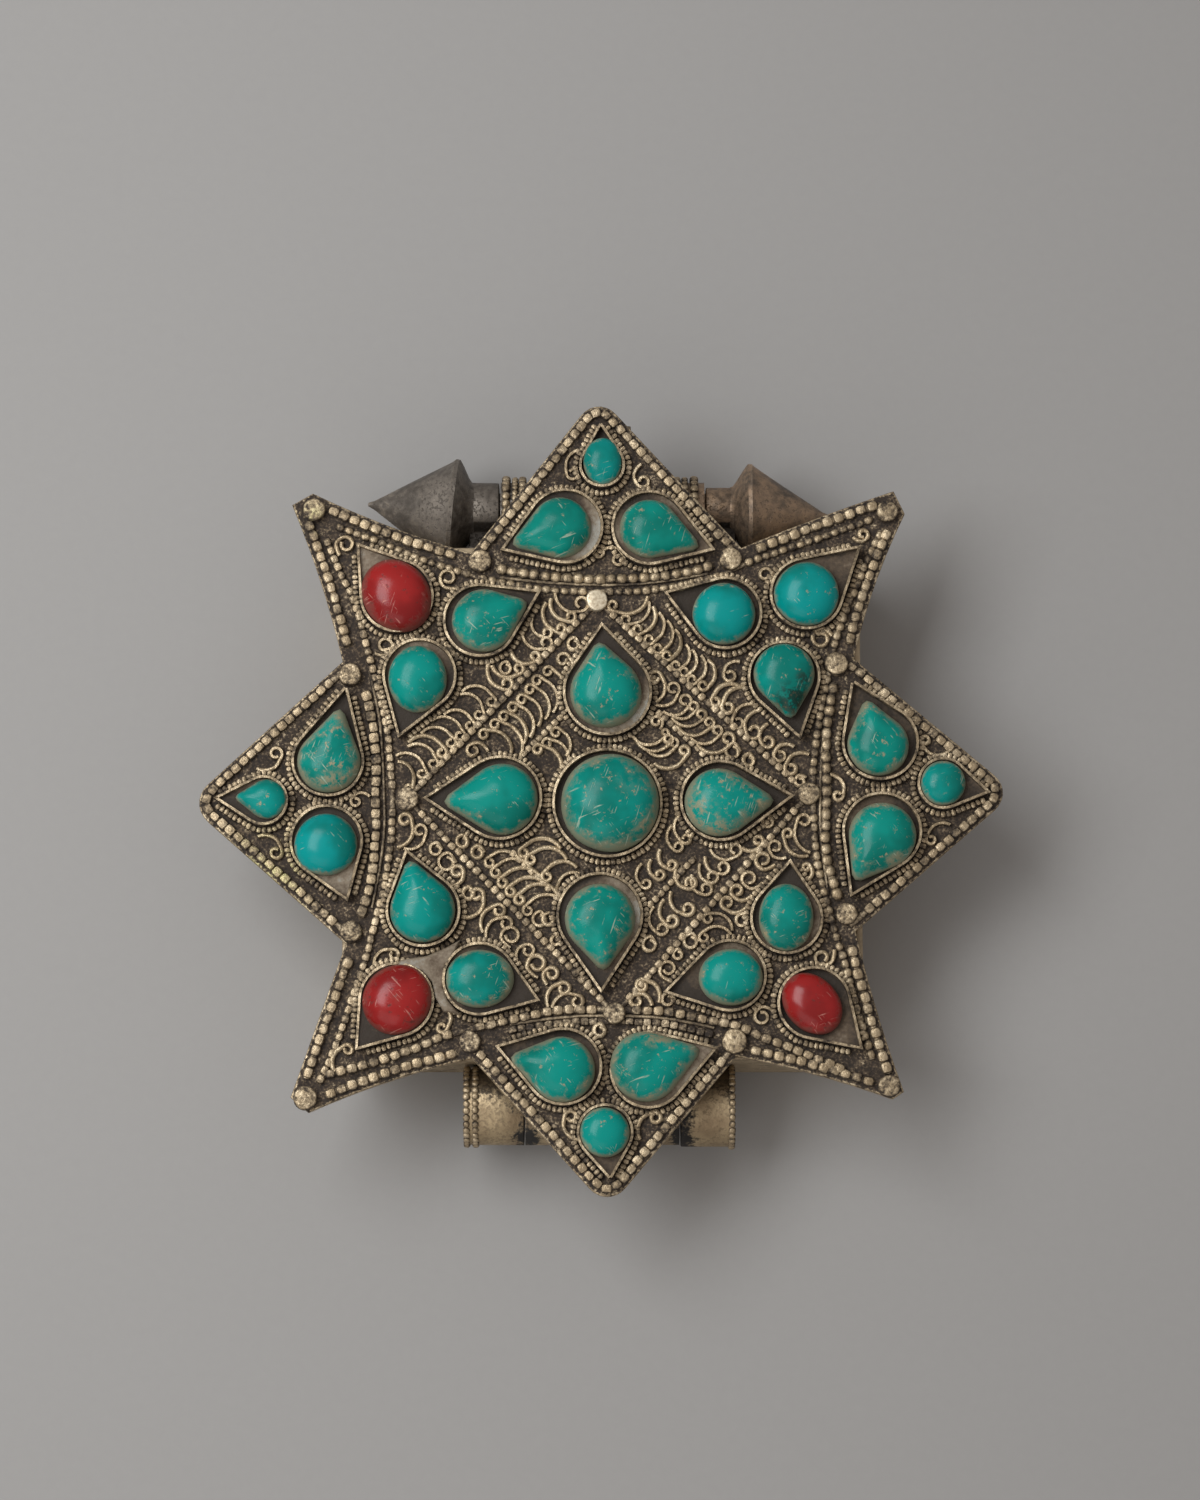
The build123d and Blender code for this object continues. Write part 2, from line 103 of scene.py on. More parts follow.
# a shader socket that takes part in sums, and the material that it belongs to
class Flow:
    def __init__(self, finish, socket):
        self.finish = finish
        self.socket = socket

    def sum(self, operation, first, second):
        return self.finish.node("Math", {"operation": operation}, {0: first, 1: second})

    def __add__(self, other):
        return self.sum("ADD", self, other)

    def __radd__(self, other):
        return self.sum("ADD", other, self)

    def __sub__(self, other):
        return self.sum("SUBTRACT", self, other)

    def __rsub__(self, other):
        return self.sum("SUBTRACT", other, self)

    def __mul__(self, other):
        return self.sum("MULTIPLY", self, other)

    def __rmul__(self, other):
        return self.sum("MULTIPLY", other, self)

    def __abs__(self):
        return self.finish.node("Math", {"operation": "ABSOLUTE"}, {0: self})


class Finish:
    def __init__(self, name):
        self.material = bpy.data.materials.new(name)
        self.material.use_nodes = True
        self.tree = self.material.node_tree
        self.tree.nodes.clear()
        output = self.tree.nodes.new("ShaderNodeOutputMaterial")
        self.shader = self.tree.nodes.new("ShaderNodeBsdfPrincipled")
        self.tree.links.new(self.shader.outputs[0], output.inputs[0])
        self.place = self.node("TexCoord", output="Object")

    def feed(self, socket, value):
        if isinstance(value, Flow):
            self.tree.links.new(value.socket, socket)
        else:
            socket.default_value = value

    def node(self, kind, settings=None, inputs=None, output=0):
        made = self.tree.nodes.new("ShaderNode" + kind)
        for key, value in (settings or {}).items():
            if key == "stops":
                ramp = made.color_ramp.elements
                while len(ramp) < len(value):
                    ramp.new(0.5)
                for element, (position, colour) in zip(ramp, value):
                    element.position = position
                    element.color = (*colour, 1)
            else:
                setattr(made, key, value)
        for key, value in (inputs or {}).items():
            self.feed(made.inputs[key], value)
        return Flow(self, made.outputs[output])

    def speckle(self, perMetre, detail=3, rough=0.55, place=None):
        inputs = {"Vector": place or self.place, "Scale": perMetre, "Detail": detail, "Roughness": rough}
        return self.node("TexNoise", None, inputs)

    # hair lines, this many times as long as wide, at an angle in radians
    def hairs(self, perMetre, length, turn, detail):
        inputs = {"Vector": self.place, "Rotation": (0, 0, turn), "Scale": (1, 1 / length, 1)}
        return self.speckle(perMetre, detail, 0.5, self.node("Mapping", {"vector_type": "TEXTURE"}, inputs))

    def along(self, axis):
        return self.node("SeparateXYZ", None, {0: self.place}, axis)

    def mark(self, name):
        return self.node("Attribute", {"attribute_name": name}, None, "Fac")

    def soft(self, value, low, high):
        return self.node("MapRange", {"interpolation_type": "SMOOTHSTEP"},
                         {"Value": value, "From Min": low, "From Max": high})

    # 1 at a spot on the face, fading out to nothing at its spread in mm
    def near(self, spot, height, spread, core):
        away = self.node("VectorMath", {"operation": "DISTANCE"}, {0: self.place, 1: flat(spot, height)}, 1)
        return self.soft(away, spread * mm, core * spread * mm)

    def shades(self, value, *stops):
        return self.node("ValToRGB", {"stops": stops}, {"Fac": value})

    def mix(self, share, first, second):
        first = first if isinstance(first, Flow) else (*first, 1)
        second = second if isinstance(second, Flow) else (*second, 1)
        return self.node("Mix", {"data_type": "RGBA"}, {0: share, 6: first, 7: second}, 2)

    def between(self, share, ends):
        return share * (ends[1] - ends[0]) + ends[0]

    def relief(self, height, strength, depth):
        return self.node("Bump", None, {"Height": height, "Strength": strength, "Distance": depth * mm})

    def done(self, **inputs):
        for key, value in inputs.items():
            self.feed(self.shader.inputs[key.replace("_", " ")], value)
        return self.material


# in the looks below, speckles are counted per metre, a pair under metallic or roughness is for the two ends
# of the finish, and a relief is its strength and its depth in mm

# worn face metal: dark grit low down, bare tan metal where hands have rubbed
faceMetal = {
    "grit": ((0.25, (0.011, 0.007, 0.005)), (0.5, (0.048, 0.033, 0.022)), (0.8, (0.26, 0.188, 0.116))),
    "bare": ((0.25, (0.23, 0.168, 0.098)), (0.5, (0.46, 0.355, 0.220)), (0.72, (0.76, 0.635, 0.440))),
    "green": (0.30, 0.30, 0.10),
    "greenAt": ((-41.5, -9.5, 9.0), (-36.6, 35.6, 3.2)),  # x, y and spread of the verdigris, mm
    "greenShare": 0.6,
    "clump": 420,
    "grain": 2600,
    "clumping": 0.8,
    "speckling": 0.85,
    "wornFrom": (0.30, 0.80),
    "metallic": (0.15, 0.75),
    "roughness": (0.78, 0.38),
    "relief": (0.8, 0.16),
}
dimMetal = ((0.25, (0.215, 0.157, 0.093)), (0.5, (0.43, 0.332, 0.208)), (0.72, (0.67, 0.557, 0.388)))


def makeFaceMetal(name, **changes):
    look = {**faceMetal, **changes}
    finish = Finish(name)
    clump = finish.speckle(look["clump"], 4)
    grain = finish.speckle(look["grain"], 3, 0.65)
    worn = finish.mark("wear") + (clump - 0.5) * look["clumping"] + (grain - 0.5) * look["speckling"]
    bare = finish.soft(worn, *look["wornFrom"])
    grit = finish.shades(grain + (clump - 0.5) * 0.5, *look["grit"])
    metal = finish.shades(clump * 0.6 + grain * 0.4, *look["bare"])
    for x, y, spread in look["greenAt"]:
        near = finish.near((x, y), plateTop, spread, 0.2) * finish.soft(clump + grain * 0.4, 0.55, 0.85)
        metal = finish.mix(near * look["greenShare"], metal, look["green"])
    return finish.done(
        Base_Color=finish.mix(bare, grit, metal),
        Metallic=finish.between(bare, look["metallic"]),
        Roughness=finish.between(bare, look["roughness"]) + (grain - 0.5) * 0.3,
        Normal=finish.relief(grain + clump * 0.5, *look["relief"]),
    )


# upper tube and cones: grey brown metal with pits
darkMetalLook = {
    "deep": (0.095, 0.081, 0.068),
    "mid": (0.270, 0.235, 0.198),
    "brown": (0.500, 0.330, 0.200),
    "brownFrom": (-4, 6),  # mm: the right end has gone browner
    "brownShare": 0.8,
    # pale tone of rubbed metal; along the cones' base rims it is also a painted highlight
    "rubbed": (0.50, 0.420, 0.320),
    "rubbedFrom": (-20, -29),  # mm: the left cone is rubbed pale
    "rubbedShare": 0.55,
    # darkest tone: the pits, dark patches on the necks and on the leaves under them, and painted shade on the
    # cones' flanks
    "crease": (0.035, 0.028, 0.022),
    "pitShare": 0.6,
    "cloud": 160,
    "grain": 1300,
    "pit": 2600,
    "metallic": (0.6, 0.2),
    "roughness": (0.5, 0.75),
    "relief": (0.8, 0.12),
}


def makeDarkMetal():
    look = darkMetalLook
    finish = Finish("darkTubeMetal")
    cloud = finish.speckle(look["cloud"], 4)
    grain = finish.speckle(look["grain"], 4, 0.65)
    pits = finish.soft(finish.speckle(look["pit"], 4, 0.65) + (cloud - 0.5) * 0.25, 0.54, 0.66)
    wear = finish.mark("wear")
    across = finish.along("X")
    browned = finish.soft(across, *(x * mm for x in look["brownFrom"])) * look["brownShare"]
    paled = finish.soft(across, *(x * mm for x in look["rubbedFrom"])) * look["rubbedShare"]
    grey = finish.mix(browned, look["mid"], look["brown"])
    tone = finish.mix(finish.soft(cloud * 0.6 + grain * 0.4, 0.32, 0.64), look["deep"], grey)
    tone = finish.mix(paled * finish.soft(cloud * 0.5 + grain * 0.5, 0.46, 0.62), tone, look["rubbed"])
    # high wear turns to the rubbed tone: rubbed metal, and along the cones' base rims a painted highlight as
    # well
    tone = finish.mix(finish.soft(wear + (grain - 0.5) * 0.5, 0.45, 0.95), tone, look["rubbed"])
    # low wear turns to the crease tone: dark patches on the necks, and painted shade on the cones' flanks
    tone = finish.mix(finish.soft(wear + (grain - 0.5) * 0.1, 0.12, 0.02), tone, look["crease"])
    return finish.done(
        Base_Color=finish.mix(pits * look["pitShare"], tone, look["crease"]),
        Metallic=finish.between(pits, look["metallic"]),
        Roughness=finish.between(pits, look["roughness"]) + (cloud - 0.5) * 0.25,
        Normal=finish.relief(grain * 0.5 - pits, *look["relief"]),
    )


# lower tube: pale brass with tarnish where the three lengths meet, and grime towards the plate
brassLook = {
    "pale": (0.49, 0.378, 0.232),
    "warm": (0.31, 0.228, 0.138),
    "tarnish": (0.020, 0.018, 0.016),
    "joinAt": 9.7,  # mm either side of the middle
    "joinSpread": 4.2,
    "grime": (0.085, 0.066, 0.046),
    "grimeFrom": (-1.5, 4.5),  # mm from the tube's axis
    "cloud": 210,
    "grain": 1900,
    "metallic": (0.8, 0.2),
    "roughness": (0.5, 0.8),
    "relief": (0.6, 0.14),
}


def makeBrass():
    look = brassLook
    finish = Finish("paleBrass")
    cloud = finish.speckle(look["cloud"], 4)
    grain = finish.speckle(look["grain"], 3, 0.65)
    fromJoin = abs(abs(finish.along("X")) - look["joinAt"] * mm)
    joined = 1 - finish.soft(fromJoin, 0.0, look["joinSpread"] * mm)
    dirt = finish.soft(joined * 0.62 + (cloud - 0.5) * 1.1 + (grain - 0.5) * 0.7, 0.38, 0.62)
    metal = finish.mix(finish.soft(cloud, 0.35, 0.65), look["warm"], look["pale"])
    sheltered = finish.soft(finish.along("Y"), *(claspY + y * mm for y in look["grimeFrom"]))
    grime = finish.soft(sheltered * 1.1 + (cloud - 0.5) * 1.2 + (grain - 0.5) * 1.1, 0.35, 0.8)
    grime = grime * 0.85 + finish.soft(grain * 0.7 + cloud * 0.3, 0.5, 0.6) * 0.35
    metal = finish.mix(grime, metal, look["grime"])
    return finish.done(
        Base_Color=finish.mix(dirt, metal, look["tarnish"]),
        Metallic=finish.between(dirt, look["metallic"]),
        Roughness=finish.between(dirt, look["roughness"]) + (grain - 0.5) * 0.3,
        Normal=finish.relief(grain + cloud, *look["relief"]),
    )


# plain sheet of the box: old tan metal with stains and fine scratches
sheetLook = {
    "shades": ((0.34, (0.110, 0.085, 0.058)), (0.5, (0.47, 0.375, 0.250)), (0.68, (0.68, 0.560, 0.400))),
    "scratched": (0.68, 0.560, 0.400),
    "cloud": 75,
    "spot": 650,
    "scratch": 420,
    "scratchLength": 16,
    "scratchTurn": 0.6,
    "metallic": (0.45, 0.85),
    "roughness": (0.62, 0.47),
    "relief": (0.35, 0.15),
}


def makeSheetMetal():
    look = sheetLook
    finish = Finish("boxSheetMetal")
    cloud = finish.speckle(look["cloud"], 5, 0.6)
    spots = finish.speckle(look["spot"], 4, 0.6)
    hairs = finish.hairs(look["scratch"], look["scratchLength"], look["scratchTurn"], 2)
    scratch = finish.soft(hairs, 0.62, 0.70)
    tone = finish.shades(cloud * 0.6 + spots * 0.4, *look["shades"])
    return finish.done(
        Base_Color=finish.mix(scratch * 0.5, tone, look["scratched"]),
        Metallic=finish.between(cloud, look["metallic"]),
        Roughness=finish.between(scratch, look["roughness"]) + (spots - 0.5) * 0.3,
        Normal=finish.relief(spots + cloud - scratch * 0.3, *look["relief"]),
    )


# the one rivet that has been rubbed bright
brightLook = {
    "shades": ((0.3, (0.52, 0.41, 0.27)), (0.6, (0.90, 0.79, 0.59))),
    "grain": 2200,
    "metallic": 0.55,
    "roughness": 0.36,
    "relief": (0.4, 0.08),
}


def makeBrightMetal():
    look = brightLook
    finish = Finish("brightRivet")
    grain = finish.speckle(look["grain"])
    return finish.done(
        Base_Color=finish.shades(grain, *look["shades"]),
        Metallic=look["metallic"],
        Roughness=look["roughness"] + (grain - 0.5) * 0.3,
        Normal=finish.relief(grain, *look["relief"]),
    )


# polished stones with dust round the rim, stains, flecks and short scratches; on the coral the rim film is
# darker, partly dust and partly painted shade
stoneLook = {
    "cloud": 150,
    "patch": 560,
    "fleck": 1500,
    "scratch": 340,
    "scratchLength": 13,
    "scratchRuns": ((0.35, 210), (1.25, 250), (2.3, 290)),  # direction, and patches per metre
    "stainHeight": 3,  # mm above the plate
    "stainShare": 0.78,
    "scratchShare": 0.68,
    "roughness": (0.23, 0.58),
    "relief": (0.22, 0.1),
}
tanStain = (0.33, 0.28, 0.17)
turquoiseLook = {
    "gloss": 0.20,
    "body": (0.0016, 0.258, 0.192),
    "bright": (0.0008, 0.290, 0.282),
    "deep": (0.0008, 0.135, 0.103),
    "dust": (0.265, 0.250, 0.165),
    "speck": (0.37, 0.305, 0.185),
    "scratch": (0.42, 0.50, 0.38),
    "stains": (  # x, y and spread in mm, and colour
        (23.6, 12.2, 3.0, (0.010, 0.016, 0.011)),
        (24.8, 14.8, 1.6, (0.020, 0.026, 0.018)),
        (12.6, -1.8, 2.7, tanStain),
        (16.6, 1.3, 1.6, tanStain),
        (14.4, -4.4, 2.2, tanStain),
        (2.5, 0.9, 3.2, (0.24, 0.29, 0.22)),
        (5.7, -4.2, 2.2, tanStain),
        (-33.6, 1.5, 2.5, tanStain),
        (6.6, -29.8, 2.6, tanStain),
        (36.4, -8.0, 1.7, (0.26, 0.25, 0.16)),
    ),
}
coralLook = {
    "gloss": 0.36,
    "body": (0.305, 0.011, 0.011),
    "bright": (0.37, 0.018, 0.016),
    "deep": (0.165, 0.005, 0.005),
    # dark red-brown film of the coral: dust, and painted shade where its rim curves down to the setting
    "dust": (0.20, 0.055, 0.043),
    "speck": (0.12, 0.02, 0.015),
    "scratch": (0.55, 0.22, 0.18),
    "stains": ((-25.4, -25.4, 1.8, (0.26, 0.10, 0.08)),),
}


def makeStone(name, colours):
    look = stoneLook
    finish = Finish(name)
    cloud = finish.speckle(look["cloud"])
    patch = finish.speckle(look["patch"], 5, 0.68)
    fleck = finish.speckle(look["fleck"], 4, 0.7)
    rim = finish.mark("rim")
    dusty = finish.mark("dust")
    colour = finish.mix(finish.mark("tone"), colours["body"], colours["bright"])
    colour = finish.mix(finish.soft(cloud, 0.42, 0.66) * 0.7, colour, colours["deep"])
    film = finish.soft(rim * 1.25 + dusty * 0.55 + (patch - 0.5) * 1.6 + (fleck - 0.5) * 0.7, 0.52, 1.08)
    specks = finish.soft(fleck, 0.56, 0.62) * finish.soft(patch + dusty * 0.14, 0.58, 0.66)
    lines = 0
    for turn, perMetre in look["scratchRuns"]:
        streak = finish.soft(finish.hairs(look["scratch"], look["scratchLength"], turn, 1), 0.66, 0.70)
        lines = streak * finish.soft(finish.speckle(perMetre) + dusty * 0.12, 0.60, 0.67) + lines
    # the film: dust round the rim and in patches; on the coral it also paints shade at the rim
    colour = finish.mix(film * 0.85, colour, colours["dust"])
    colour = finish.mix(specks * 0.85, colour, colours["speck"])
    for x, y, spread, stain in colours["stains"]:
        near = finish.near((x, y), plateTop + look["stainHeight"] * mm, spread, 0.35)
        broken = near * finish.soft(patch + fleck * 0.6, 0.70, 0.86)
        colour = finish.mix(broken * look["stainShare"], colour, stain)
    colour = finish.mix(lines * look["scratchShare"], colour, colours["scratch"])
    return finish.done(
        Base_Color=colour,
        Specular_IOR_Level=colours["gloss"],
        Roughness=finish.between(film, look["roughness"]) + lines * 0.2 + (patch - 0.5) * 0.16,
        Normal=finish.relief(patch * 0.4 - lines * 0.4 - specks, *look["relief"]),
    )


# grey setting cement, gone tan with dirt; the lower the bed sits in its strip the darker it is, down to
# brown-black, partly dirt and partly painted shade in the deep gap
cementLook = {
    "shades": ((0.12, (0.030, 0.020, 0.012)), (0.42, (0.115, 0.080, 0.050)), (0.66, (0.25, 0.200, 0.142)),
               (0.92, (0.37, 0.36, 0.315))),
    "cloud": 190,
    "grain": 1700,
    "roughness": 0.72,
    "relief": (0.7, 0.14),
}


def makeCement():
    look = cementLook
    finish = Finish("settingCement")
    cloud = finish.speckle(look["cloud"], 4)
    grain = finish.speckle(look["grain"], 4, 0.65)
    level = finish.mark("level") * 0.95 - 0.14 + (cloud - 0.5) * 0.9 + (grain - 0.5) * 0.7
    return finish.done(
        Base_Color=finish.shades(level, *look["shades"]),
        Roughness=look["roughness"] + (grain - 0.5) * 0.2,
        Normal=finish.relief(grain + cloud * 0.6, *look["relief"]),
    )


wornMetal = makeFaceMetal("wornFaceMetal", bare=dimMetal)
plateMetal = makeFaceMetal("plateMetal", clump=700, grain=2900, speckling=1.6)
wireMetal = makeFaceMetal("wireMetal", speckling=0.45)
rivetMetal = makeFaceMetal("rivetMetal", clump=1150, speckling=1.0)
darkMetal = makeDarkMetal()
paleBrass = makeBrass()
sheetMetal = makeSheetMetal()
brightMetal = makeBrightMetal()
turquoise = makeStone("turquoiseStone", turquoiseLook)
coral = makeStone("coralStone", coralLook)
cement = makeCement()
print("finishes: %d made" % len(bpy.data.materials))


# shared ways of making pieces
sway = {"perMetre": 45, "reach": 0.13}  # slow sideways drift of all that lies on the plate, mm
easing = {"merge": 0.002, "flat": 1, "sharp": 40}  # mm, and degrees
drawn = {"perMm": 8, "middle": 0.25}  # points drawn over the picture, and their middle in mm


def swayAll(shape):
    for vert in shape.verts:
        drift = noise.noise_vector(Vector((vert.co.x, vert.co.y, 0)) * sway["perMetre"]) * sway["reach"] * mm
        vert.co += Vector((drift.x, drift.y, 0))


def dent(vert, perMetre, reach, seed=0):
    vert.co += noise.noise_vector(vert.co * perMetre + Vector((seed, 0, 0))) * reach * mm


def tilt(rng, most):
    forward = Matrix.Rotation(rng.uniform(-most, most), 4, "X")
    return forward @ Matrix.Rotation(rng.uniform(-most, most), 4, "Y")


def clamped(value):
    return min(1, max(0, value))


def only(geom, kind):
    return [g for g in geom if isinstance(g, kind)]


def layerOf(shape, name="wear"):
    return shape.verts.layers.float.get(name) or shape.verts.layers.float.new(name)


# wear that grows with the height above the plate, mm
def markHeights(shape, low, high):
    layer = layerOf(shape)
    for vert in shape.verts:
        vert[layer] = clamped(((vert.co.z - plateTop) / mm - low) / (high - low))


def rounded(shape, geom, width, segments, affect="EDGES", clamp=False):
    bmesh.ops.bevel(shape, geom=geom, offset=width * mm, offset_type="OFFSET", segments=segments, profile=0.5,
                    affect=affect, material=-1, clamp_overlap=clamp)


def meshFrom(name, shape):
    mesh = bpy.data.meshes.new(name)
    shape.to_mesh(mesh)
    shape.free()
    return mesh


def dress(name, shape, material, node, body="lid", sharpFrom=40):
    mesh = meshFrom(name, shape)
    mesh.polygons.foreach_set("use_smooth", [True] * len(mesh.polygons))
    mesh.set_sharp_from_angle(angle=math.radians(sharpFrom))
    mesh.materials.append(material)
    piece = linked(name, mesh)
    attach(piece, body)
    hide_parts(node)


# a point drawn over the picture, put back on the plate that leans away from the camera
def onPlate(seen):
    lean = math.radians(shot["lean"])
    up = (seen[1] / drawn["perMm"] - shot["aim"][1]) / shot["away"]
    y = shot["away"] * up / (math.cos(lean) - up * math.sin(lean))
    x = (seen[0] / drawn["perMm"] + drawn["middle"]) * (1 + y * math.sin(lean) / shot["away"])
    return Vector((x + shot["aim"][0], y + shot["aim"][1]))


# direction across a line, towards the middle of the face
def inwardFrom(start, end):
    side = Vector((start.y - end.y, end.x - start.x)).normalized()
    return -side if side.dot(start + end) > 0 else side


def bowed(start, end, bow, count):
    start = Vector(start)
    end = Vector(end)
    lift = inwardFrom(start, end) * bow * 4 / 3
    return interpolate_bezier(start, start.lerp(end, 1 / 3) + lift, start.lerp(end, 2 / 3) + lift, end, count)


def trimmed(points, fromStart, fromEnd):
    lengths = [0.0]
    for first, second in zip(points, points[1:]):
        lengths.append(lengths[-1] + (second - first).length)
    return [p for p, at in zip(points, lengths) if fromStart <= at <= lengths[-1] - fromEnd]


def spaced(points, pitch):
    total = sum((b - a).length for a, b in zip(points, points[1:]))
    count = max(1, round(total / pitch))
    step = total / count
    places = []
    walked = 0.0
    wanted = step / 2
    for first, second in zip(points, points[1:]):
        run = (second - first).length
        while wanted <= walked + run + 1e-9 and len(places) < count:
            spot = first.lerp(second, (wanted - walked) / run)
            places.append((spot, math.atan2(second.y - first.y, second.x - first.x)))
            wanted += step
        walked += run
    return places


def gridded(shape, faces, pitch):
    for axis, across in enumerate((Vector((1, 0, 0)), Vector((0, 1, 0)))):
        spots = [v.co[axis] for f in faces for v in f.verts]
        behind = []
        ahead = faces
        cut = min(spots) + pitch * mm
        while cut < max(spots):
            edges = {e for f in ahead for e in f.edges}
            verts = {v for f in ahead for v in f.verts}
            made = bmesh.ops.bisect_plane(shape, geom=[*ahead, *edges, *verts], dist=1e-7,
                                          plane_co=across * cut, plane_no=across)["geom"]
            pieces = only(made, BMFace)
            ahead = [f for f in pieces if min(v.co[axis] for v in f.verts) > cut - 1e-6]
            behind += [f for f in pieces if min(v.co[axis] for v in f.verts) <= cut - 1e-6]
            cut += pitch * mm
        faces = behind + ahead
    return faces


# star plate: four points, four blunt corners, edges of the corners hollow, and a gritty top
star = {
    "apexes": {"north": (-0.6, 51.9), "east": (51.5, 0.9), "south": (0.6, -51.0), "west": (-51.8, -0.5)},
    "notches": {
        "north": ((-16.5, 31.4), (17.5, 32.1)),
        "east": ((31.5, 17.8), (31.4, -16.5)),
        "south": ((16.6, -32.2), (-16.1, -32.4)),
        "west": ((-31.8, -18.1), (-32.6, 17.5)),
    },
    "corners": {
        "north": ((36.7, 39.4), (38.1, 36.5)),
        "east": ((37.3, -36.5), (35.9, -37.4)),
        "south": ((-36.3, -39.1), (-38.5, -37.2)),
        "west": ((-39.1, 37.6), (-36.5, 39.1)),
    },
    "bows": {"north": (-0.2, 0.6), "east": (0.3, 0.42), "south": (0.55, 0.0), "west": (0.38, 0.5)},
    "bowSteps": 8,
    "tipRound": 3.4,
    "edge": 0.14,
    "gridPitch": 0.42,
    "grain": ((1500, 0.09), (560, 0.08)),  # lumps per metre and their height in mm
    "groundWear": (0.15, 2.4),  # of the ground, and what each mm of height adds
    "rimWear": 0.6,
    "backWear": 1.5,
}
sideNames = ("north", "east", "south", "west")


# hollow edges of each corner, from a notch to the blunt end, and how far they bow inwards in mm
def cornerEdges(side):
    following = sideNames[(sideNames.index(side) + 1) % 4]
    notches = (star["notches"][side][1], star["notches"][following][0])
    return zip(notches, star["corners"][side], star["bows"][side])


def makeStarPlate():
    shape = bmesh.new()
    outline = []
    tips = []
    for side in sideNames:
        outline.append(Vector(star["notches"][side][0]))
        tips.append(len(outline))
        outline.append(Vector(star["apexes"][side]))
        (before, cornerA, bowA), (after, cornerB, bowB) = cornerEdges(side)
        outline += bowed(before, cornerA, bowA, star["bowSteps"])
        outline += bowed(cornerB, after, bowB, star["bowSteps"])[:-1]
    verts = [shape.verts.new(flat(spot, plateLow)) for spot in outline]
    shape.faces.new(verts)
    rounded(shape, [verts[i] for i in tips], star["tipRound"], 7, "VERTICES")
    raised = bmesh.ops.extrude_face_region(shape, geom=shape.faces[:])["geom"]
    bmesh.ops.translate(shape, verts=only(raised, BMVert), vec=(0, 0, plateTop - plateLow))
    bmesh.ops.recalc_face_normals(shape, faces=shape.faces)
    rounded(shape, [e for e in shape.edges if abs(e.verts[0].co.z - e.verts[1].co.z) < 1e-6], star["edge"], 2)
    swayAll(shape)
    top = max((f for f in shape.faces if f.normal.z > 0.9), key=lambda f: f.calc_area())
    ground = set(gridded(shape, [top], star["gridPitch"]))
    layer = layerOf(shape)
    for vert in shape.verts:
        vert[layer] = star["rimWear"] if vert.co.z > (plateLow + plateTop) / 2 else star["backWear"]
        if all(f in ground for f in vert.link_faces):
            lump = sum(noise.noise(vert.co * count) * height for count, height in star["grain"])
            vert.co.z += lump * mm
            vert[layer] = star["groundWear"][0] + lump * star["groundWear"][1]
    dress("starPlate", shape, plateMetal, "star_plate", sharpFrom=50)


makeStarPlate()
print("star plate: made")


# rivets: low discs with rubbed tops
rivets = {
    "radius": 1.42,
    "height": 1.15,
    "round": 0.22,
    "radiusSpread": (0.92, 1.06),
    "heightSpread": (0.85, 1.1),
    "tilt": 0.06,
    "dent": (900, 0.11),  # per metre, and mm
    "wear": (0.1, 1.85),  # mm above the plate
    "notch": ((-15.4, 30.2), (16.1, 30.5), (29.3, 17.1), (30.3, -14.5),
              (16.3, -30.4), (-16.4, -30.4), (-31.2, -16.7), (-31.6, 15.7)),
    "corner": ((-36.3, 36.8), (35.8, 36.6), (-36.7, -37.4), (35.4, -35.9)),
    "diamond": ((25.7, 0.6), (1.5, -26.9), (-24.4, 0.0)),
    "bright": ((-0.7, 25.2),),
}
rivetPlaces = [Vector(spot) for group in ("notch", "corner", "diamond", "bright") for spot in rivets[group]]


def addRivet(shape, spot, rng):
    radius = rivets["radius"] * mm * rng.uniform(*rivets["radiusSpread"])
    height = rivets["height"] * mm * rng.uniform(*rivets["heightSpread"])
    place = Matrix.Translation(flat(spot, plateTop + height / 2)) @ tilt(rng, rivets["tilt"])
    made = bmesh.ops.create_cone(shape, cap_ends=True, cap_tris=False, segments=22, radius1=radius * 1.04,
                                 radius2=radius, depth=height, matrix=place)["verts"]
    top = [v for v in made if v.co.z > plateTop + height / 2]
    rounded(shape, [e for e in shape.edges if e.verts[0] in top and e.verts[1] in top], rivets["round"], 3)


def makeRivets(name, group, material, node, seed):
    shape = bmesh.new()
    rng = random.Random(seed)
    for spot in rivets[group]:
        addRivet(shape, spot, rng)
    for vert in shape.verts:
        dent(vert, *rivets["dent"])
    markHeights(shape, *rivets["wear"])
    dress(name, shape, material, node)


makeRivets("notchRivets", "notch", rivetMetal, "notch_studs", 11)
makeRivets("cornerRivets", "corner", rivetMetal, "corner_studs", 12)
makeRivets("diamondRivets", "diamond", rivetMetal, "diamond_studs", 13)
makeRivets("brightRivet", "bright", brightMetal, "diamond_studs", 14)
print("rivets: made")


# bead wires: square pillows or round balls in a row, flattened on top by wear, along a low ridge
beadShape = {
    "pillow": {"cuts": 2, "roundness": 0.66},
    "round": {"cuts": 2, "roundness": 0.8},
    "ball": {"cuts": 2, "roundness": 0.92},
    "small": {"cuts": 1, "roundness": 0.85},
    "radius": 0.56,
    "flatten": 0.74,
    "clear": 1.95,  # mm from a rivet's middle to the nearest bead's middle
    "seat": 0.36,  # share of the height
    "sizeSpread": (0.86, 1.08),
    "lengthSpread": (0.94, 1.06),
    "wearSpread": (0.66, 1.05),
    "turn": 0.14,
    "tilt": 0.1,
    "slip": 0.04,  # share of the size
}
ridge = {
    "profile": ((-1, -0.1), (-0.8, 0.65), (-0.3, 1), (0.3, 1), (0.8, 0.65), (1, -0.1)),
    "wear": (0.2, 0.35, 0.55, 0.55, 0.35, 0.2),
    "half": 0.4,  # shares of the bead's size and height
    "height": 0.5,
}


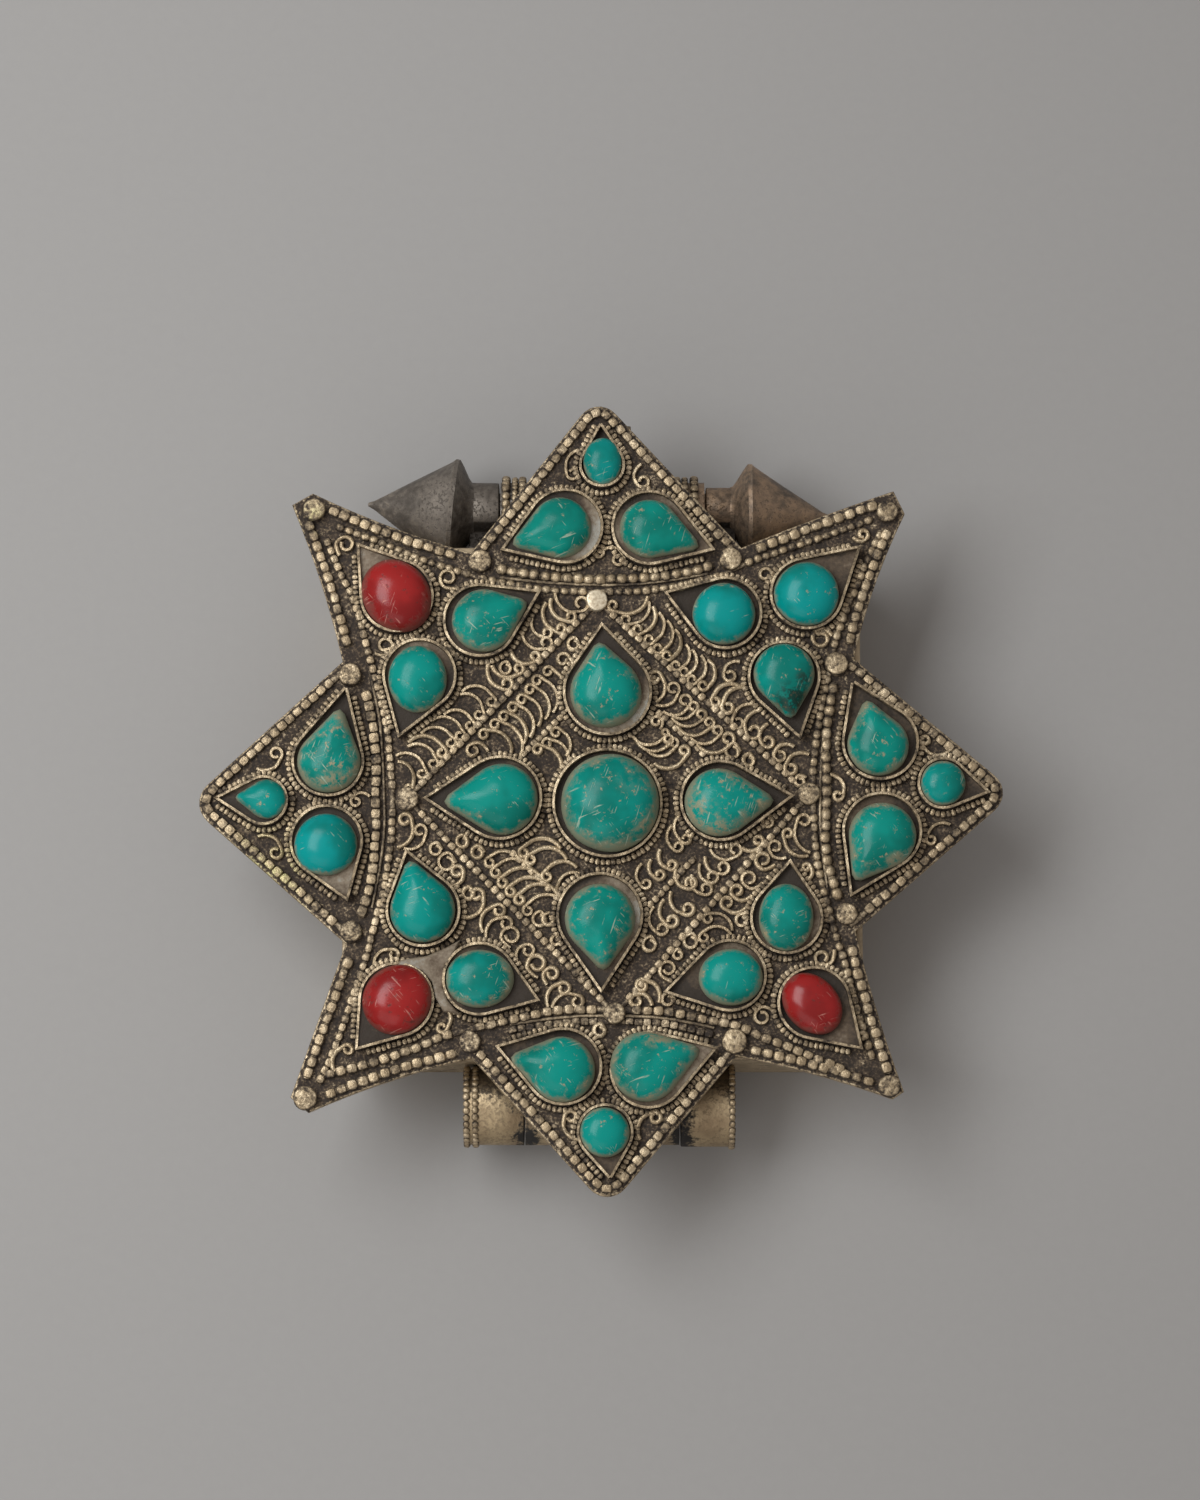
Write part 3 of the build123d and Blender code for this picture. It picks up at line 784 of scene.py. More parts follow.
def makeBead(cuts, roundness):
    shape = bmesh.new()
    bmesh.ops.create_cube(shape, size=1)
    bmesh.ops.subdivide_edges(shape, edges=shape.edges[:], cuts=cuts, use_grid_fill=True)
    for vert in shape.verts:
        vert.co = vert.co.lerp(vert.co.normalized() * beadShape["radius"], roundness)
    return meshFrom("bead", shape)


beads = {kind: makeBead(**beadShape[kind]) for kind in ("pillow", "round", "ball", "small")}


def addBead(shape, bead, place, size, wear):
    count = len(shape.verts)
    shape.from_mesh(bead)
    layer = layerOf(shape)
    shape.verts.ensure_lookup_table()
    stretch = place @ Matrix.Diagonal((*size, 1))
    for vert in shape.verts[count:]:
        vert[layer] = clamped(0.25 + vert.co.z * 1.5) * wear
        vert.co = stretch @ vert.co


def addRidge(shape, points, half, height, wear):
    layer = layerOf(shape)
    isRing = (points[0] - points[-1]).length < 1e-6
    points = points[:-1] if isRing else points
    last = len(points) - 1
    rings = []
    for index, spot in enumerate(points):
        before = points[index - 1] if index or isRing else spot
        after = points[(index + 1) % len(points)] if index < last or isRing else spot
        ahead = (after - before).normalized()
        side = Vector((-ahead.y, ahead.x)) * half
        ring = []
        for (out, up), share in zip(ridge["profile"], ridge["wear"]):
            ring.append(shape.verts.new(flat(spot + side * out, plateTop + up * height * mm)))
            ring[-1][layer] = wear * share
        rings.append(ring)
    pairs = list(zip(rings, rings[1:])) + ([(rings[-1], rings[0])] if isRing else [])
    for first, second in pairs:
        for index in range(len(first)):
            shape.faces.new((first[index - 1], first[index], second[index], second[index - 1]))
    if not isRing:
        shape.faces.new(rings[0])
        shape.faces.new(rings[-1])
    faces = {f for ring in rings for v in ring for f in v.link_faces}
    bmesh.ops.recalc_face_normals(shape, faces=list(faces))


def addRow(shape, points, look, rng):
    size = look["size"]
    pitch = look["pitch"]
    height = size * look.get("flatten", beadShape["flatten"])
    addRidge(shape, points, size * ridge["half"], height * ridge["height"], look["wear"])
    for spot, angle in spaced(points, pitch):
        if any((spot - rivet).length < beadShape["clear"] for rivet in rivetPlaces):
            continue
        grow = rng.uniform(*beadShape["sizeSpread"])
        turn = Matrix.Rotation(angle + rng.uniform(-beadShape["turn"], beadShape["turn"]), 4, "Z")
        lean = tilt(rng, beadShape["tilt"])
        slip = [rng.uniform(-beadShape["slip"], beadShape["slip"]) for _ in range(2)]
        low = plateTop + height * beadShape["seat"] * mm
        place = Matrix.Translation(flat(spot + Vector(slip) * size, low)) @ turn @ lean
        along = min(size * 1.12, pitch * 0.95) * rng.uniform(*beadShape["lengthSpread"])
        addBead(shape, beads[look["kind"]], place, (along * mm, size * grow * mm, height * grow * mm),
                look["wear"] * rng.uniform(*beadShape["wearSpread"]))


def makeBeads(name, node, seed, rows):
    shape = bmesh.new()
    rng = random.Random(seed)
    for points, look in rows:
        addRow(shape, points, look, rng)
    swayAll(shape)
    dress(name, shape, wornMetal, node)


def through(points, perSpan=8):
    points = [onPlate(point) for point in points]
    line = []
    for index in range(len(points) - 1):
        before = points[max(index - 1, 0)]
        start, end = points[index:index + 2]
        after = points[min(index + 2, len(points) - 1)]
        leave = start + (end - before) / 6
        arrive = end - (after - start) / 6
        line += interpolate_bezier(start, leave, arrive, end, perSpan)[:-1]
    return line + [points[-1]]


# row round each point of the star
tipBorder = {"size": 1.12, "pitch": 1.32, "kind": "pillow", "wear": 0.92, "inset": 1.0, "trim": 0.6,
             "round": 2.4, "pull": 0.62}


def tipLine(side):
    first, second = (Vector(notch) for notch in star["notches"][side])
    apex = Vector(star["apexes"][side])
    lean = (apex - (first + second) / 2).length
    half = (first - second).length / 2
    # a step along the axis that moves the edges in by the inset
    step = apex.normalized() * (tipBorder["inset"] * math.hypot(lean, half) / half)
    tip, left, right = apex - step, first - step, second - step
    roundFrom = tip + (left - tip).normalized() * tipBorder["round"]
    roundTo = tip + (right - tip).normalized() * tipBorder["round"]
    pull = tipBorder["pull"]
    cap = interpolate_bezier(roundFrom, roundFrom.lerp(tip, pull), roundTo.lerp(tip, pull), roundTo, 10)
    line = bowed(left, roundFrom, 0, 24) + cap[1:-1] + bowed(roundTo, right, 0, 24)
    return trimmed(line, tipBorder["trim"], tipBorder["trim"])


# outer row of each corner, along the plate's hollow edges
cornerBorder = {"size": 1.22, "pitch": 1.46, "kind": "round", "wear": 1.0, "inset": 1.05, "fromNotch": 1.5,
                "fromCorner": 2.6}


def cornerLine(notch, corner, bow):
    edge = bowed(notch, corner, bow, 80)
    step = inwardFrom(edge[0], edge[-1]) * cornerBorder["inset"]
    return trimmed([spot + step for spot in edge], cornerBorder["fromNotch"], cornerBorder["fromCorner"])


# rows between the panel and the points of the star, drawn over the picture; the last four run on into the
# corners
panelRows = (
    {"size": 1.28, "pitch": 1.36, "kind": "ball", "wear": 1.0, "points": (
        (-105, 231), (-72, 225), (-30, 221), (0, 220), (58, 223), (90, 228), (111, 234))},
    {"size": 1.28, "pitch": 1.45, "kind": "ball", "wear": 0.95, "points": (
        (232, 116), (227, 90), (224, 55), (224, 19), (224, -5), (223, -35), (226, -65), (236, -99))},
    {"size": 0.95, "pitch": 1.1, "kind": "pillow", "wear": 0.6, "points": (
        (-94, -231), (-62, -226), (-26, -222), (26, -222), (62, -224), (82, -228), (112, -235))},
    {"size": 1.25, "pitch": 1.38, "kind": "pillow", "wear": 0.95, "points": (
        (-237, 109), (-229, 74), (-226, 39), (-226, -1), (-226, -38), (-231, -82), (-241, -117))},
    {"size": 0.96, "pitch": 1.14, "kind": "ball", "wear": 0.85, "points": (
        (-266, 273), (-222, 257), (-178, 239), (-114, 220), (-57, 210), (-2, 208), (53, 210), (110, 222),
        (148, 238), (213, 260), (270, 281))},
    {"size": 1.0, "pitch": 1.18, "kind": "ball", "wear": 0.8, "points": (
        (279, 269), (257, 221), (236, 168), (227, 128), (217, 80), (212, 40), (211, 0), (213, -45),
        (217, -72), (224, -100), (232, -130), (244, -168), (257, -216), (271, -259))},
    {"size": 1.2, "pitch": 1.38, "kind": "round", "wear": 0.9, "points": (
        (-277, -275), (-234, -264), (-186, -248), (-154, -235), (-121, -227), (-76, -217), (-38, -210),
        (28, -210), (70, -213), (108, -221), (134, -226), (166, -240), (203, -254), (243, -271))},
    {"size": 0.98, "pitch": 1.16, "kind": "round", "wear": 0.9, "points": (
        (-276, 261), (-261, 224), (-249, 201), (-238, 163), (-229, 129), (-219, 90), (-213, 55), (-210, 10),
        (-210, -28), (-216, -80), (-227, -126), (-234, -152), (-251, -205), (-267, -249), (-283, -283))},
)

# four sides of the diamond and the short bars between the petals
diamond = {
    "side": {"size": 1.0, "pitch": 1.1, "kind": "round", "wear": 0.9},
    "bar": {"size": 0.9, "pitch": 0.96, "kind": "round", "wear": 0.9},
    "bars": (((-10.2, 5.3), (-5.0, 10.6)), ((6.8, 11.2), (12.9, 5.4)),
             ((11.4, -7.4), (5.6, -13.6)), ((-6.4, -11.6), (-11.4, -6.6))),
}


def diamondRows():
    studs = rivets["bright"] + rivets["diamond"]
    sides = [(bowed(start, end, 0, 60), diamond["side"]) for start, end in zip(studs, studs[1:] + studs[:1])]
    return sides + [(bowed(start, end, 0, 20), diamond["bar"]) for start, end in diamond["bars"]]


makeBeads("tipBeads", "tip_bead_wires", 21, [(tipLine(side), tipBorder) for side in sideNames])
makeBeads("cornerBeads", "corner_bead_wires", 22,
          [(cornerLine(*edge), cornerBorder) for side in sideNames for edge in cornerEdges(side)])
makeBeads("panelBeads", "panel_bead_wires", 23, [(through(row["points"]), row) for row in panelRows])
makeBeads("diamondBeads", "diamond_bead_wires", 24, diamondRows())
print("bead wires: made")


# filigree, drawn over the picture: tail x, tail y, head x, head y and the curl's radius; a curl above zero
# turns against the clock
filigree = {
    "wire": 0.29,
    "grooveWire": 0.2,
    "bulge": 0.27,  # share of the length
    "shoulder": (0.12, 0.95),  # shares of the length and of the bulge
    "crown": (0.62, 0.75),  # shares of the length and of the curl
    "loop": 1.3,
    "coil": (9, 45, 1.12, 0.065),  # steps, degrees a step, first radius and its loss a step
    "seat": (0.8, 1.2),  # shares of the wire's radius
    "girth": (0.92, 1.08),
    "lift": (-0.02, 0.05),  # mm
    "rubbedAt": 1.95,
    "rubbedTo": 0.3,
    "wearFrom": (0.4, 2.0),
    "outer": (
        (-206, 44, -180, 26, -4), (-194, 53, -169, 36, -4), (-194, 57, -160, 47, -4),
        (-181, 66, -151, 57, -4), (-170, 79, -142, 64, -4), (-158, 85, -132, 74, -4),
        (-142, 105, -123, 85, -4), (-140, 108, -111, 98, -4), (-204, 38, -193, 12, -3),
        (-113, 137, -95, 116, 5), (-110, 134, -83, 131, 4), (-91, 131, -96, 131, 5),
        (-91, 148, -67, 143, 4), (-80, 168, -56, 157, 5), (-70, 181, -55, 167, 4), (-56, 197, -41, 171, 4),
        (-51, 201, -31, 183, 4), (-47, 206, -21, 196, 6),
        (46, 203, 11, 194, -4), (47, 198, 24, 180, -4), (51, 193, 36, 170, -4), (57, 187, 47, 160, -4),
        (65, 179, 56, 151, -4), (73, 170, 65, 144, -4), (84, 155, 74, 134, -4), (90, 150, 82, 128, -4),
        (99, 144, 90, 120, -4), (106, 140, 101, 114, -4), (138, 138, 128, 124, 5), (138, 113, 114, 98, 4),
        (146, 111, 126, 92, 5), (155, 94, 136, 77, 5), (155, 89, 152, 68, 6), (166, 76, 166, 58, 5),
        (192, 53, 178, 44, 5), (207, 45, 189, 31, 5), (204, 22, 198, 18, 4),
        (208, -53, 202, -21, -5), (206, -56, 186, -34, -4), (184, -58, 173, -47, -5),
        (173, -65, 161, -60, -6), (161, -83, 147, -79, -6), (150, -96, 135, -91, -5),
        (146, -105, 125, -103, -5), (130, -131, 106, -119, 4), (129, -135, 102, -138, 4),
        (96, -142, 89, -142, 6), (80, -155, 76, -155, 4), (69, -181, 66, -169, -6), (57, -203, 40, -186, 5),
        (50, -206, 34, -201, 5), (73, -200, 66, -200, 5), (146, -121, 140, -121, 5),
        (206, -80, 204, -68, 3),
        (-205, -48, -197, -20, 5), (-198, -49, -182, -31, 5), (-160, -50, -166, -50, 5),
        (-146, -63, -155, -63, 7), (-152, -86, -145, -72, 5), (-128, -94, -133, -94, 5),
        (-136, -118, -125, -95, 5), (-119, -133, -103, -111, -5), (-116, -138, -96, -124, -5),
        (-92, -148, -91, -136, -7), (-85, -162, -74, -151, -5), (-64, -178, -65, -164, -7),
        (-55, -185, -50, -174, -5), (-54, -207, -38, -189, -5), (-50, -208, -25, -202, -5),
    ),
    "inner": (
        (-40, 84, -54, 128, 4), (-49, 87, -65, 119, 4), (-57, 80, -72, 110, 4), (-64, 73, -80, 100, 4),
        (-72, 62, -89, 92, 4), (-78, 56, -98, 83, 4), (-82, 43, -107, 75, 4), (-91, 45, -118, 65, 4),
        (-114, 48, -129, 49, 5), (-36, 122, -39, 140, 5), (-36, 43, -46, 67, 4), (-35, 35, -55, 56, 4),
        (-42, 26, -64, 50, 4), (-23, 155, -28, 155, 5),
        (53, 97, 53, 122, 5), (53, 95, 71, 111, 5), (61, 88, 83, 99, 5), (68, 86, 91, 93, 4),
        (70, 82, 99, 85, 4), (75, 73, 107, 77, 4), (88, 62, 115, 69, 4), (95, 55, 126, 61, 5),
        (138, 48, 131, 48, 6), (152, 39, 147, 39, 5), (31, 63, 63, 67, 3), (35, 58, 66, 60, 4),
        (45, 49, 71, 57, 4), (52, 36, 82, 49, 4), (58, 70, 54, 78, 4),
        (108, -50, 133, -50, 5), (103, -57, 121, -68, 5), (98, -64, 110, -77, 5), (90, -75, 104, -89, 5),
        (69, -92, 86, -109, 5), (62, -100, 70, -121, 5), (52, -107, 60, -129, 5), (54, -145, 48, -145, 6),
        (40, -64, 44, -84, 4), (49, -60, 58, -75, 4), (58, -50, 70, -65, 4), (70, -26, 76, -47, 4),
        (78, -15, 84, -39, 4), (171, -22, 166, -22, 5), (140, -48, 156, -41, 4), (74, -70, 88, -83, 5),
        (-82, -61, -112, -63, 4), (-71, -69, -106, -73, 4), (-61, -78, -99, -83, 4),
        (-53, -88, -91, -92, 4), (-44, -94, -82, -100, 4), (-39, -103, -74, -111, 4),
        (-41, -49, -78, -53, 4), (-35, -60, -71, -60, 4), (-25, -68, -55, -77, 4), (-22, -74, -41, -92, 4),
        (-134, -42, -139, -42, 5), (-118, -53, -124, -53, 5), (-56, -120, -62, -120, 6),
        (-48, -120, -53, -120, 5), (-42, -141, -46, -141, 4),
    ),
    "gap": (
        (-262, 244, -256, 255, -6), (-146, 211, -154, 222, -6), (-227, 146, -217, 154, 6),
        (162, 213, 163, 225, 5), (230, 164, 219, 161, 7), (251, 262, 261, 265, 4), (-20, 350, -29, 326, 5),
        (39, 335, 41, 318, 5), (-16, 238, -4, 247, -5), (2, 250, 16, 240, -5), (-345, 31, -326, 46, 5),
        (-344, -37, -326, -53, -5), (346, 48, 323, 59, -4), (348, -25, 329, -40, 4),
        (-161, -204, -160, -228, -4), (172, -212, 160, -217, 6), (232, -150, 220, -158, -6),
        (-267, -272, -254, -250, -4), (-24, -340, -31, -317, -5), (38, -340, 53, -318, -5),
        (3, -231, -2, -231, 5), (-232, 3, -246, -2, 4), (228, 25, 236, 4, -4), (-228, -165, -208, -155, -4),
    ),
    "groove": (  # plain wires between the two rows of beads, as runs of points
        ((-233, 129), (-227, 107), (-221, 72), (-219, 37), (-218, 2), (-217, -24), (-220, -54), (-224, -80),
         (-230, -108)),
        ((-102, 222), (-60, 217), (0, 214), (56, 216), (106, 226)),
        ((228, 100), (220, 60), (218, 10), (218, -40), (226, -95)),
        ((-92, -225), (-40, -216), (20, -216), (70, -218), (112, -228)),
    ),
}


def scrollLine(tailX, tailY, headX, headY, curl):
    tail = Vector((tailX, tailY))
    head = Vector((headX, headY))
    turn = 1 if curl > 0 else -1
    curl = abs(curl) * filigree["loop"]
    ahead = head - tail
    side = Vector((ahead.y, -ahead.x)).normalized() * turn
    bulge = ahead.length * filigree["bulge"]
    start, rise = filigree["shoulder"]
    crown, swell = filigree["crown"]
    points = [tail, tail + ahead * start + side * bulge * rise]
    points.append(tail + ahead * crown + side * (bulge + curl * swell))
    steps, degrees, first, less = filigree["coil"]
    for step in range(steps):
        swing = Matrix.Rotation(turn * math.radians(degrees) * step, 2)
        points.append(head + swing @ side * curl * (first - less * step))
    return points


def wireMesh(name, lines, radius, rng):
    curve = bpy.data.curves.new(name + "Line", "CURVE")
    curve.dimensions = "3D"
    curve.bevel_depth = radius * mm
    curve.bevel_resolution = 1
    curve.resolution_u = 3
    curve.use_fill_caps = True
    for line in lines:
        spline = curve.splines.new("NURBS")
        spline.points.add(len(line) - 1)
        low = plateTop + radius * mm * rng.uniform(*filigree["seat"])
        for point, spot in zip(spline.points, line):
            point.co = (*flat(onPlate(spot), low + rng.uniform(*filigree["lift"]) * mm), 1)
            point.radius = rng.uniform(*filigree["girth"])
        spline.use_endpoint_u = True
        spline.order_u = 3
    wire = linked(name + "Line", curve)
    bpy.context.view_layer.update()
    mesh = bpy.data.meshes.new_from_object(wire.evaluated_get(bpy.context.evaluated_depsgraph_get()))
    bpy.data.objects.remove(wire)
    bpy.data.curves.remove(curve)
    return mesh


def makeWires(name, lines, node, radius, wear, seed):
    mesh = wireMesh(name, lines, radius, random.Random(seed))
    shape = bmesh.new()
    shape.from_mesh(mesh)
    bpy.data.meshes.remove(mesh)
    bmesh.ops.remove_doubles(shape, verts=shape.verts, dist=easing["merge"] * mm)
    bmesh.ops.recalc_face_normals(shape, faces=shape.faces)
    rubbed = plateTop + radius * mm * filigree["rubbedAt"]
    for vert in shape.verts:
        if vert.co.z > rubbed:
            vert.co.z = rubbed + (vert.co.z - rubbed) * filigree["rubbedTo"]
    low, high = filigree["wearFrom"]
    markHeights(shape, radius * low, radius * high / wear)
    dress(name, shape, wireMetal, node, sharpFrom=60)


def makeScrolls(name, group, node, wear, seed):
    makeWires(name, [scrollLine(*line) for line in filigree[group]], node, filigree["wire"], wear, seed)


makeScrolls("outerScrolls", "outer", "outer_filigree", 0.95, 31)
makeScrolls("innerScrolls", "inner", "inner_filigree", 0.95, 32)
makeScrolls("gapCurls", "gap", "gap_curls", 0.9, 33)
makeWires("grooveWires", filigree["groove"], "panel_bead_wires", filigree["grooveWire"], 0.6, 34)
print("filigree: %d scrolls" % sum(len(filigree[k]) for k in ("outer", "inner", "gap")))


# settings: the strip's middle x and y, radius, and reach and direction of its point; the stone's radius,
# reach and direction of its point, and shift from the middle; its tone and dust; how full of cement the strip
# is, and the side on which that is pale; mm and degrees
def setting(strip, stone, tone, dust, fill, pale=None, isOpen=False):
    x, y, radius, reach, toward = strip
    stoneRadius, tip, tipToward, shiftX, shiftY = stone
    return {"at": (x, y), "radius": radius, "reach": reach, "toward": math.radians(toward),
            "stoneAt": Vector((x + shiftX, y + shiftY)), "stone": stoneRadius, "tip": tip,
            "tipToward": math.radians(tipToward), "tone": tone, "dust": dust, "fill": fill, "pale": pale,
            "isOpen": isOpen}


settings = {
    "centre": [
        setting((0.6, -0.7, 6.75, 0, 0), (6.15, 0, 0, 0.35, 0), 0.35, 0.55, 0.4),
    ],
    "petal": [
        setting((0.6, 13.4, 5.5, 8.7, 95), (4.5, 6.4, 98, -0.2, -0.1), 0.3, 0.5, 0.6, pale=295),
        setting((14.7, -0.4, 5, 9.1, 4), (4.3, 6.8, 2, -0.2, -0.2), 0.35, 0.7, 0.3),
        setting((-0.4, -14.8, 5.3, 9.5, 271), (4.4, 6.4, 274, 0.1, -0.4), 0.25, 0.5, 0.6, pale=20),
        setting((-12.8, -0.1, 5.2, 9.4, 180), (4.5, 7.2, 182, 0.3, -0.1), 0.3, 0.35, 0.5, pale=0),
    ],
    "north": [
        setting((0, 42.4, 2.85, 5.5, 92), (2.4, 3.1, 91, 0, 0.45), 0.75, 0.1, 0.2, isOpen=True),
        setting((-4.7, 34.5, 4.75, 8.5, 201), (3.9, 6.3, 199, -0.6, -0.2), 0.2, 0.25, 0.7, pale=345),
        setting((5.9, 34.3, 4.7, 8.6, 341), (3.75, 6.6, 339, 0, -0.1), 0.2, 0.35, 0.6),
    ],
    "east": [
        setting((42.4, 1.8, 3.2, 5.9, 349), (2.85, 0, 0, 0, 0), 0.6, 0.3, 0.55),
        setting((34.6, 7, 4.7, 8.5, 114), (3.85, 5.8, 104, -0.2, -0.4), 0.25, 0.45, 0.35, isOpen=True),
        setting((34.7, -4.2, 4.85, 9, 244), (4.2, 6.5, 238, 0.1, -0.6), 0.25, 0.45, 0.4),
    ],
    "south": [
        setting((0.3, -41.7, 3.45, 5.9, 276), (3.1, 0, 0, 0, 0), 0.4, 0.35, 0.4, isOpen=True),
        setting((-4.9, -33.6, 4.75, 8.6, 163), (4.1, 6.5, 166, -0.1, -0.4), 0.3, 0.5, 0.35),
        setting((5.7, -34, 4.75, 8.9, 18), (4.35, 7, 18, -0.4, 0.4), 0.3, 0.5, 0.7),
    ],
    "west": [
        setting((-42.2, -0.4, 3.05, 6.1, 177), (2.5, 3.9, 177, 0.4, 0.2), 0.55, 0.3, 0.6, pale=70),
        setting((-34.2, 4.6, 4.45, 9.8, 77), (3.95, 6.8, 79, 0.1, -0.1), 0.3, 0.75, 0.3, isOpen=True),
        setting((-34.3, -5.5, 4.5, 7.9, 290), (3.95, 0, 0, -0.1, -0.4), 0.95, 0, 0.55, pale=290),
    ],
    "northeast": [
        setting((15.4, 23.4, 4.55, 8.1, 161), (3.95, 0, 0, -0.2, -0.1), 0.85, 0.1, 0.35),
        setting((25.6, 25.9, 4.55, 9.1, 42), (4.1, 0, 0, 0, -0.1), 0.9, 0.1, 0.5),
        setting((22.7, 15.3, 4.45, 8.1, 284), (3.8, 5.7, 278, 0, 0.4), 0.45, 0.15, 0.25),
    ],
    "southeast": [
        setting((22.8, -15.1, 4.45, 7.3, 86), (3.4, 4.25, 90, 0, 0), 0.35, 0.35, 0.5, pale=300),
        setting((15.8, -22.3, 4.45, 8.4, 194), (3.55, 4, 180, 0.1, -0.2), 0.4, 0.4, 0.42, pale=80),
        setting((26.2, -25.7, 4.5, 8.2, 316), (3.27, 4.2, 312, -0.3, -0.1), 0.3, 0.4, 0.3, pale=300),
    ],
    "southwest": [
        setting((-22.2, -14.1, 4.55, 7.8, 106), (4.05, 6.4, 105, -0.1, -0.1), 0.5, 0.15, 0.3),
        setting((-15.2, -22.7, 4.5, 7.8, 340), (3.65, 4.25, 0, 0, 0), 0.45, 0.45, 0.55, pale=160),
        setting((-25.4, -25.3, 4.6, 7.9, 231), (4.2, 4.5, 228, 0, 0), 0.3, 0.45, 0.75, pale=45),
    ],
    "northwest": [
        setting((-15.3, 22.4, 4.6, 8.4, 27), (4, 5.9, 24, 0.4, 0), 0.25, 0.45, 0.5),
        setting((-22.9, 15.5, 4.55, 8.3, 252), (3.65, 4.3, 90, -0.2, -0.5), 0.4, 0.2, 0.6, pale=90),
        setting((-25.8, 25.6, 4.6, 8.3, 127), (4.2, 4.9, 127, 0, 0), 0.35, 0.45, 0.6, pale=140),
    ],
}
allSettings = [item for items in settings.values() for item in items]
coralCorners = ("southeast", "southwest", "northwest")


def around(angle, radius):
    return Vector((math.cos(angle), math.sin(angle))) * radius


def dropOutline(radius, reach, count):
    if reach <= radius:
        return [around(2 * math.pi * (index + 0.5) / count, radius) for index in range(count)]
    touch = math.acos(radius / reach)
    flank = radius * math.tan(touch)
    arc = (2 * math.pi - 2 * touch) * radius
    point = Vector((reach, 0))
    spots = []
    for index in range(count):
        walked = (2 * flank + arc) * index / count
        if walked < flank:
            spots.append(point.lerp(around(touch, radius), walked / flank))
        elif walked < flank + arc:
            spots.append(around(touch + (walked - flank) / radius, radius))
        else:
            spots.append(around(-touch, radius).lerp(point, (walked - flank - arc) / flank))
    return spots


# outline of a setting on the plate, made wider or narrower by some mm
def seats(item, wider, count):
    radius = item["radius"] + wider
    along, across = math.cos(item["toward"]), math.sin(item["toward"])
    line = []
    for spot in dropOutline(radius, item["reach"] * radius / item["radius"], count):
        x = item["at"][0] + spot.x * along - spot.y * across
        y = item["at"][1] + spot.x * across + spot.y * along
        line.append(flat((x, y), plateTop))
    return line


# strips that hold the stones
strips = {
    "thick": 0.31,
    "rises": ((0.6, 0.0), (0.8, -0.006), (0.45, -0.012)),  # mm, and the share that each draws in
    "wave": (420, 0.22),  # of the top edge, per metre and mm
    "steps": 72,
    "wear": (0.7, 2.5),  # mm above the plate
}


def addStrip(shape, item, seed):
    ring = bmesh.ops.create_circle(shape, cap_ends=False, segments=strips["steps"], radius=mm)["verts"]
    for vert, seat in zip(ring, seats(item, 0, strips["steps"])):
        vert.co = seat
    edges = list({e for v in ring for e in v.link_edges})
    if item["isOpen"]:
        bmesh.ops.delete(shape, geom=[ring[0]], context="VERTS")
        edges = [e for e in edges if e.is_valid]
    walls = []
    perMetre, wave = strips["wave"]
    for step, (rise, lean) in enumerate(strips["rises"], 1):
        made = bmesh.ops.extrude_edge_only(shape, edges=edges)["geom"]
        edges = only(made, BMEdge)
        walls += only(made, BMFace)
        for vert in only(made, BMVert):
            if step == len(strips["rises"]):
                vert.co.z += noise.noise(vert.co * perMetre + Vector((seed, 0, 0))) * wave * mm
            inward = (flat(item["at"]) - vert.co) * lean
            vert.co += Vector((inward.x, inward.y, rise * mm))
    bmesh.ops.recalc_face_normals(shape, faces=walls)
    return walls


def makeStrips():
    for number, (name, items) in enumerate(settings.items()):
        shape = bmesh.new()
        walls = []
        for index, item in enumerate(items):
            walls += addStrip(shape, item, number * 10 + index)
        bmesh.ops.solidify(shape, geom=walls, thickness=strips["thick"] * mm)
        bmesh.ops.recalc_face_normals(shape, faces=shape.faces)
        swayAll(shape)
        markHeights(shape, *strips["wear"])
        ending = "" if len(items) == 1 else "s"
        dress(name + "Strip" + ending, shape, wornMetal, f"{name}_bezel{ending}", sharpFrom=45)


# fine beads round the foot of each strip; they stop short of its point
foot = {"size": 0.86, "pitch": 0.66, "kind": "small", "wear": 0.86, "flatten": 0.9, "gap": 0.55, "steps": 120,
        "stop": 6}


def footLine(item):
    line = [(seat / mm).to_2d() for seat in seats(item, foot["gap"], foot["steps"])]
    if item["reach"] > item["radius"]:
        return line[foot["stop"]:-foot["stop"]]
    return line + line[:1]


# cement beds
bed = {
    "foot": 0.05,  # mm above the plate
    "height": (0.45, 1.15),  # mm when empty, and what a full one adds
    "lump": (330, 0.32),  # per metre, and mm
    "climb": 0.16,
    "rings": (0.25, 0.35, 0.5),  # mm, from the strip inwards
    "steps": 48,
    "paleFrom": 0.3,
    # a low fill gives a low bed and a dark level: dirt and painted shade in the gap inside the strip
    "level": (0.8, 0.45, 0.5),  # from the fill, the pale side and the lumps
}

# cement that has run over between three of the settings, drawn over the picture
spill = {
    "outline": (
        (-217, -172), (-199, -161), (-174, -157), (-156, -149), (-141, -141), (-147, -155), (-155, -170),
        (-158, -188), (-153, -202), (-141, -215), (-158, -212), (-166, -198), (-169, -183), (-179, -172),
        (-195, -168),
    ),
    "height": 1.75,
    "round": 0.4,
    "pitch": 0.5,
    "lump": (500, 0.25),
    "level": (0.85, 0.3),  # and what the lumps add
    "topFrom": 0.5,  # mm above the plate
}


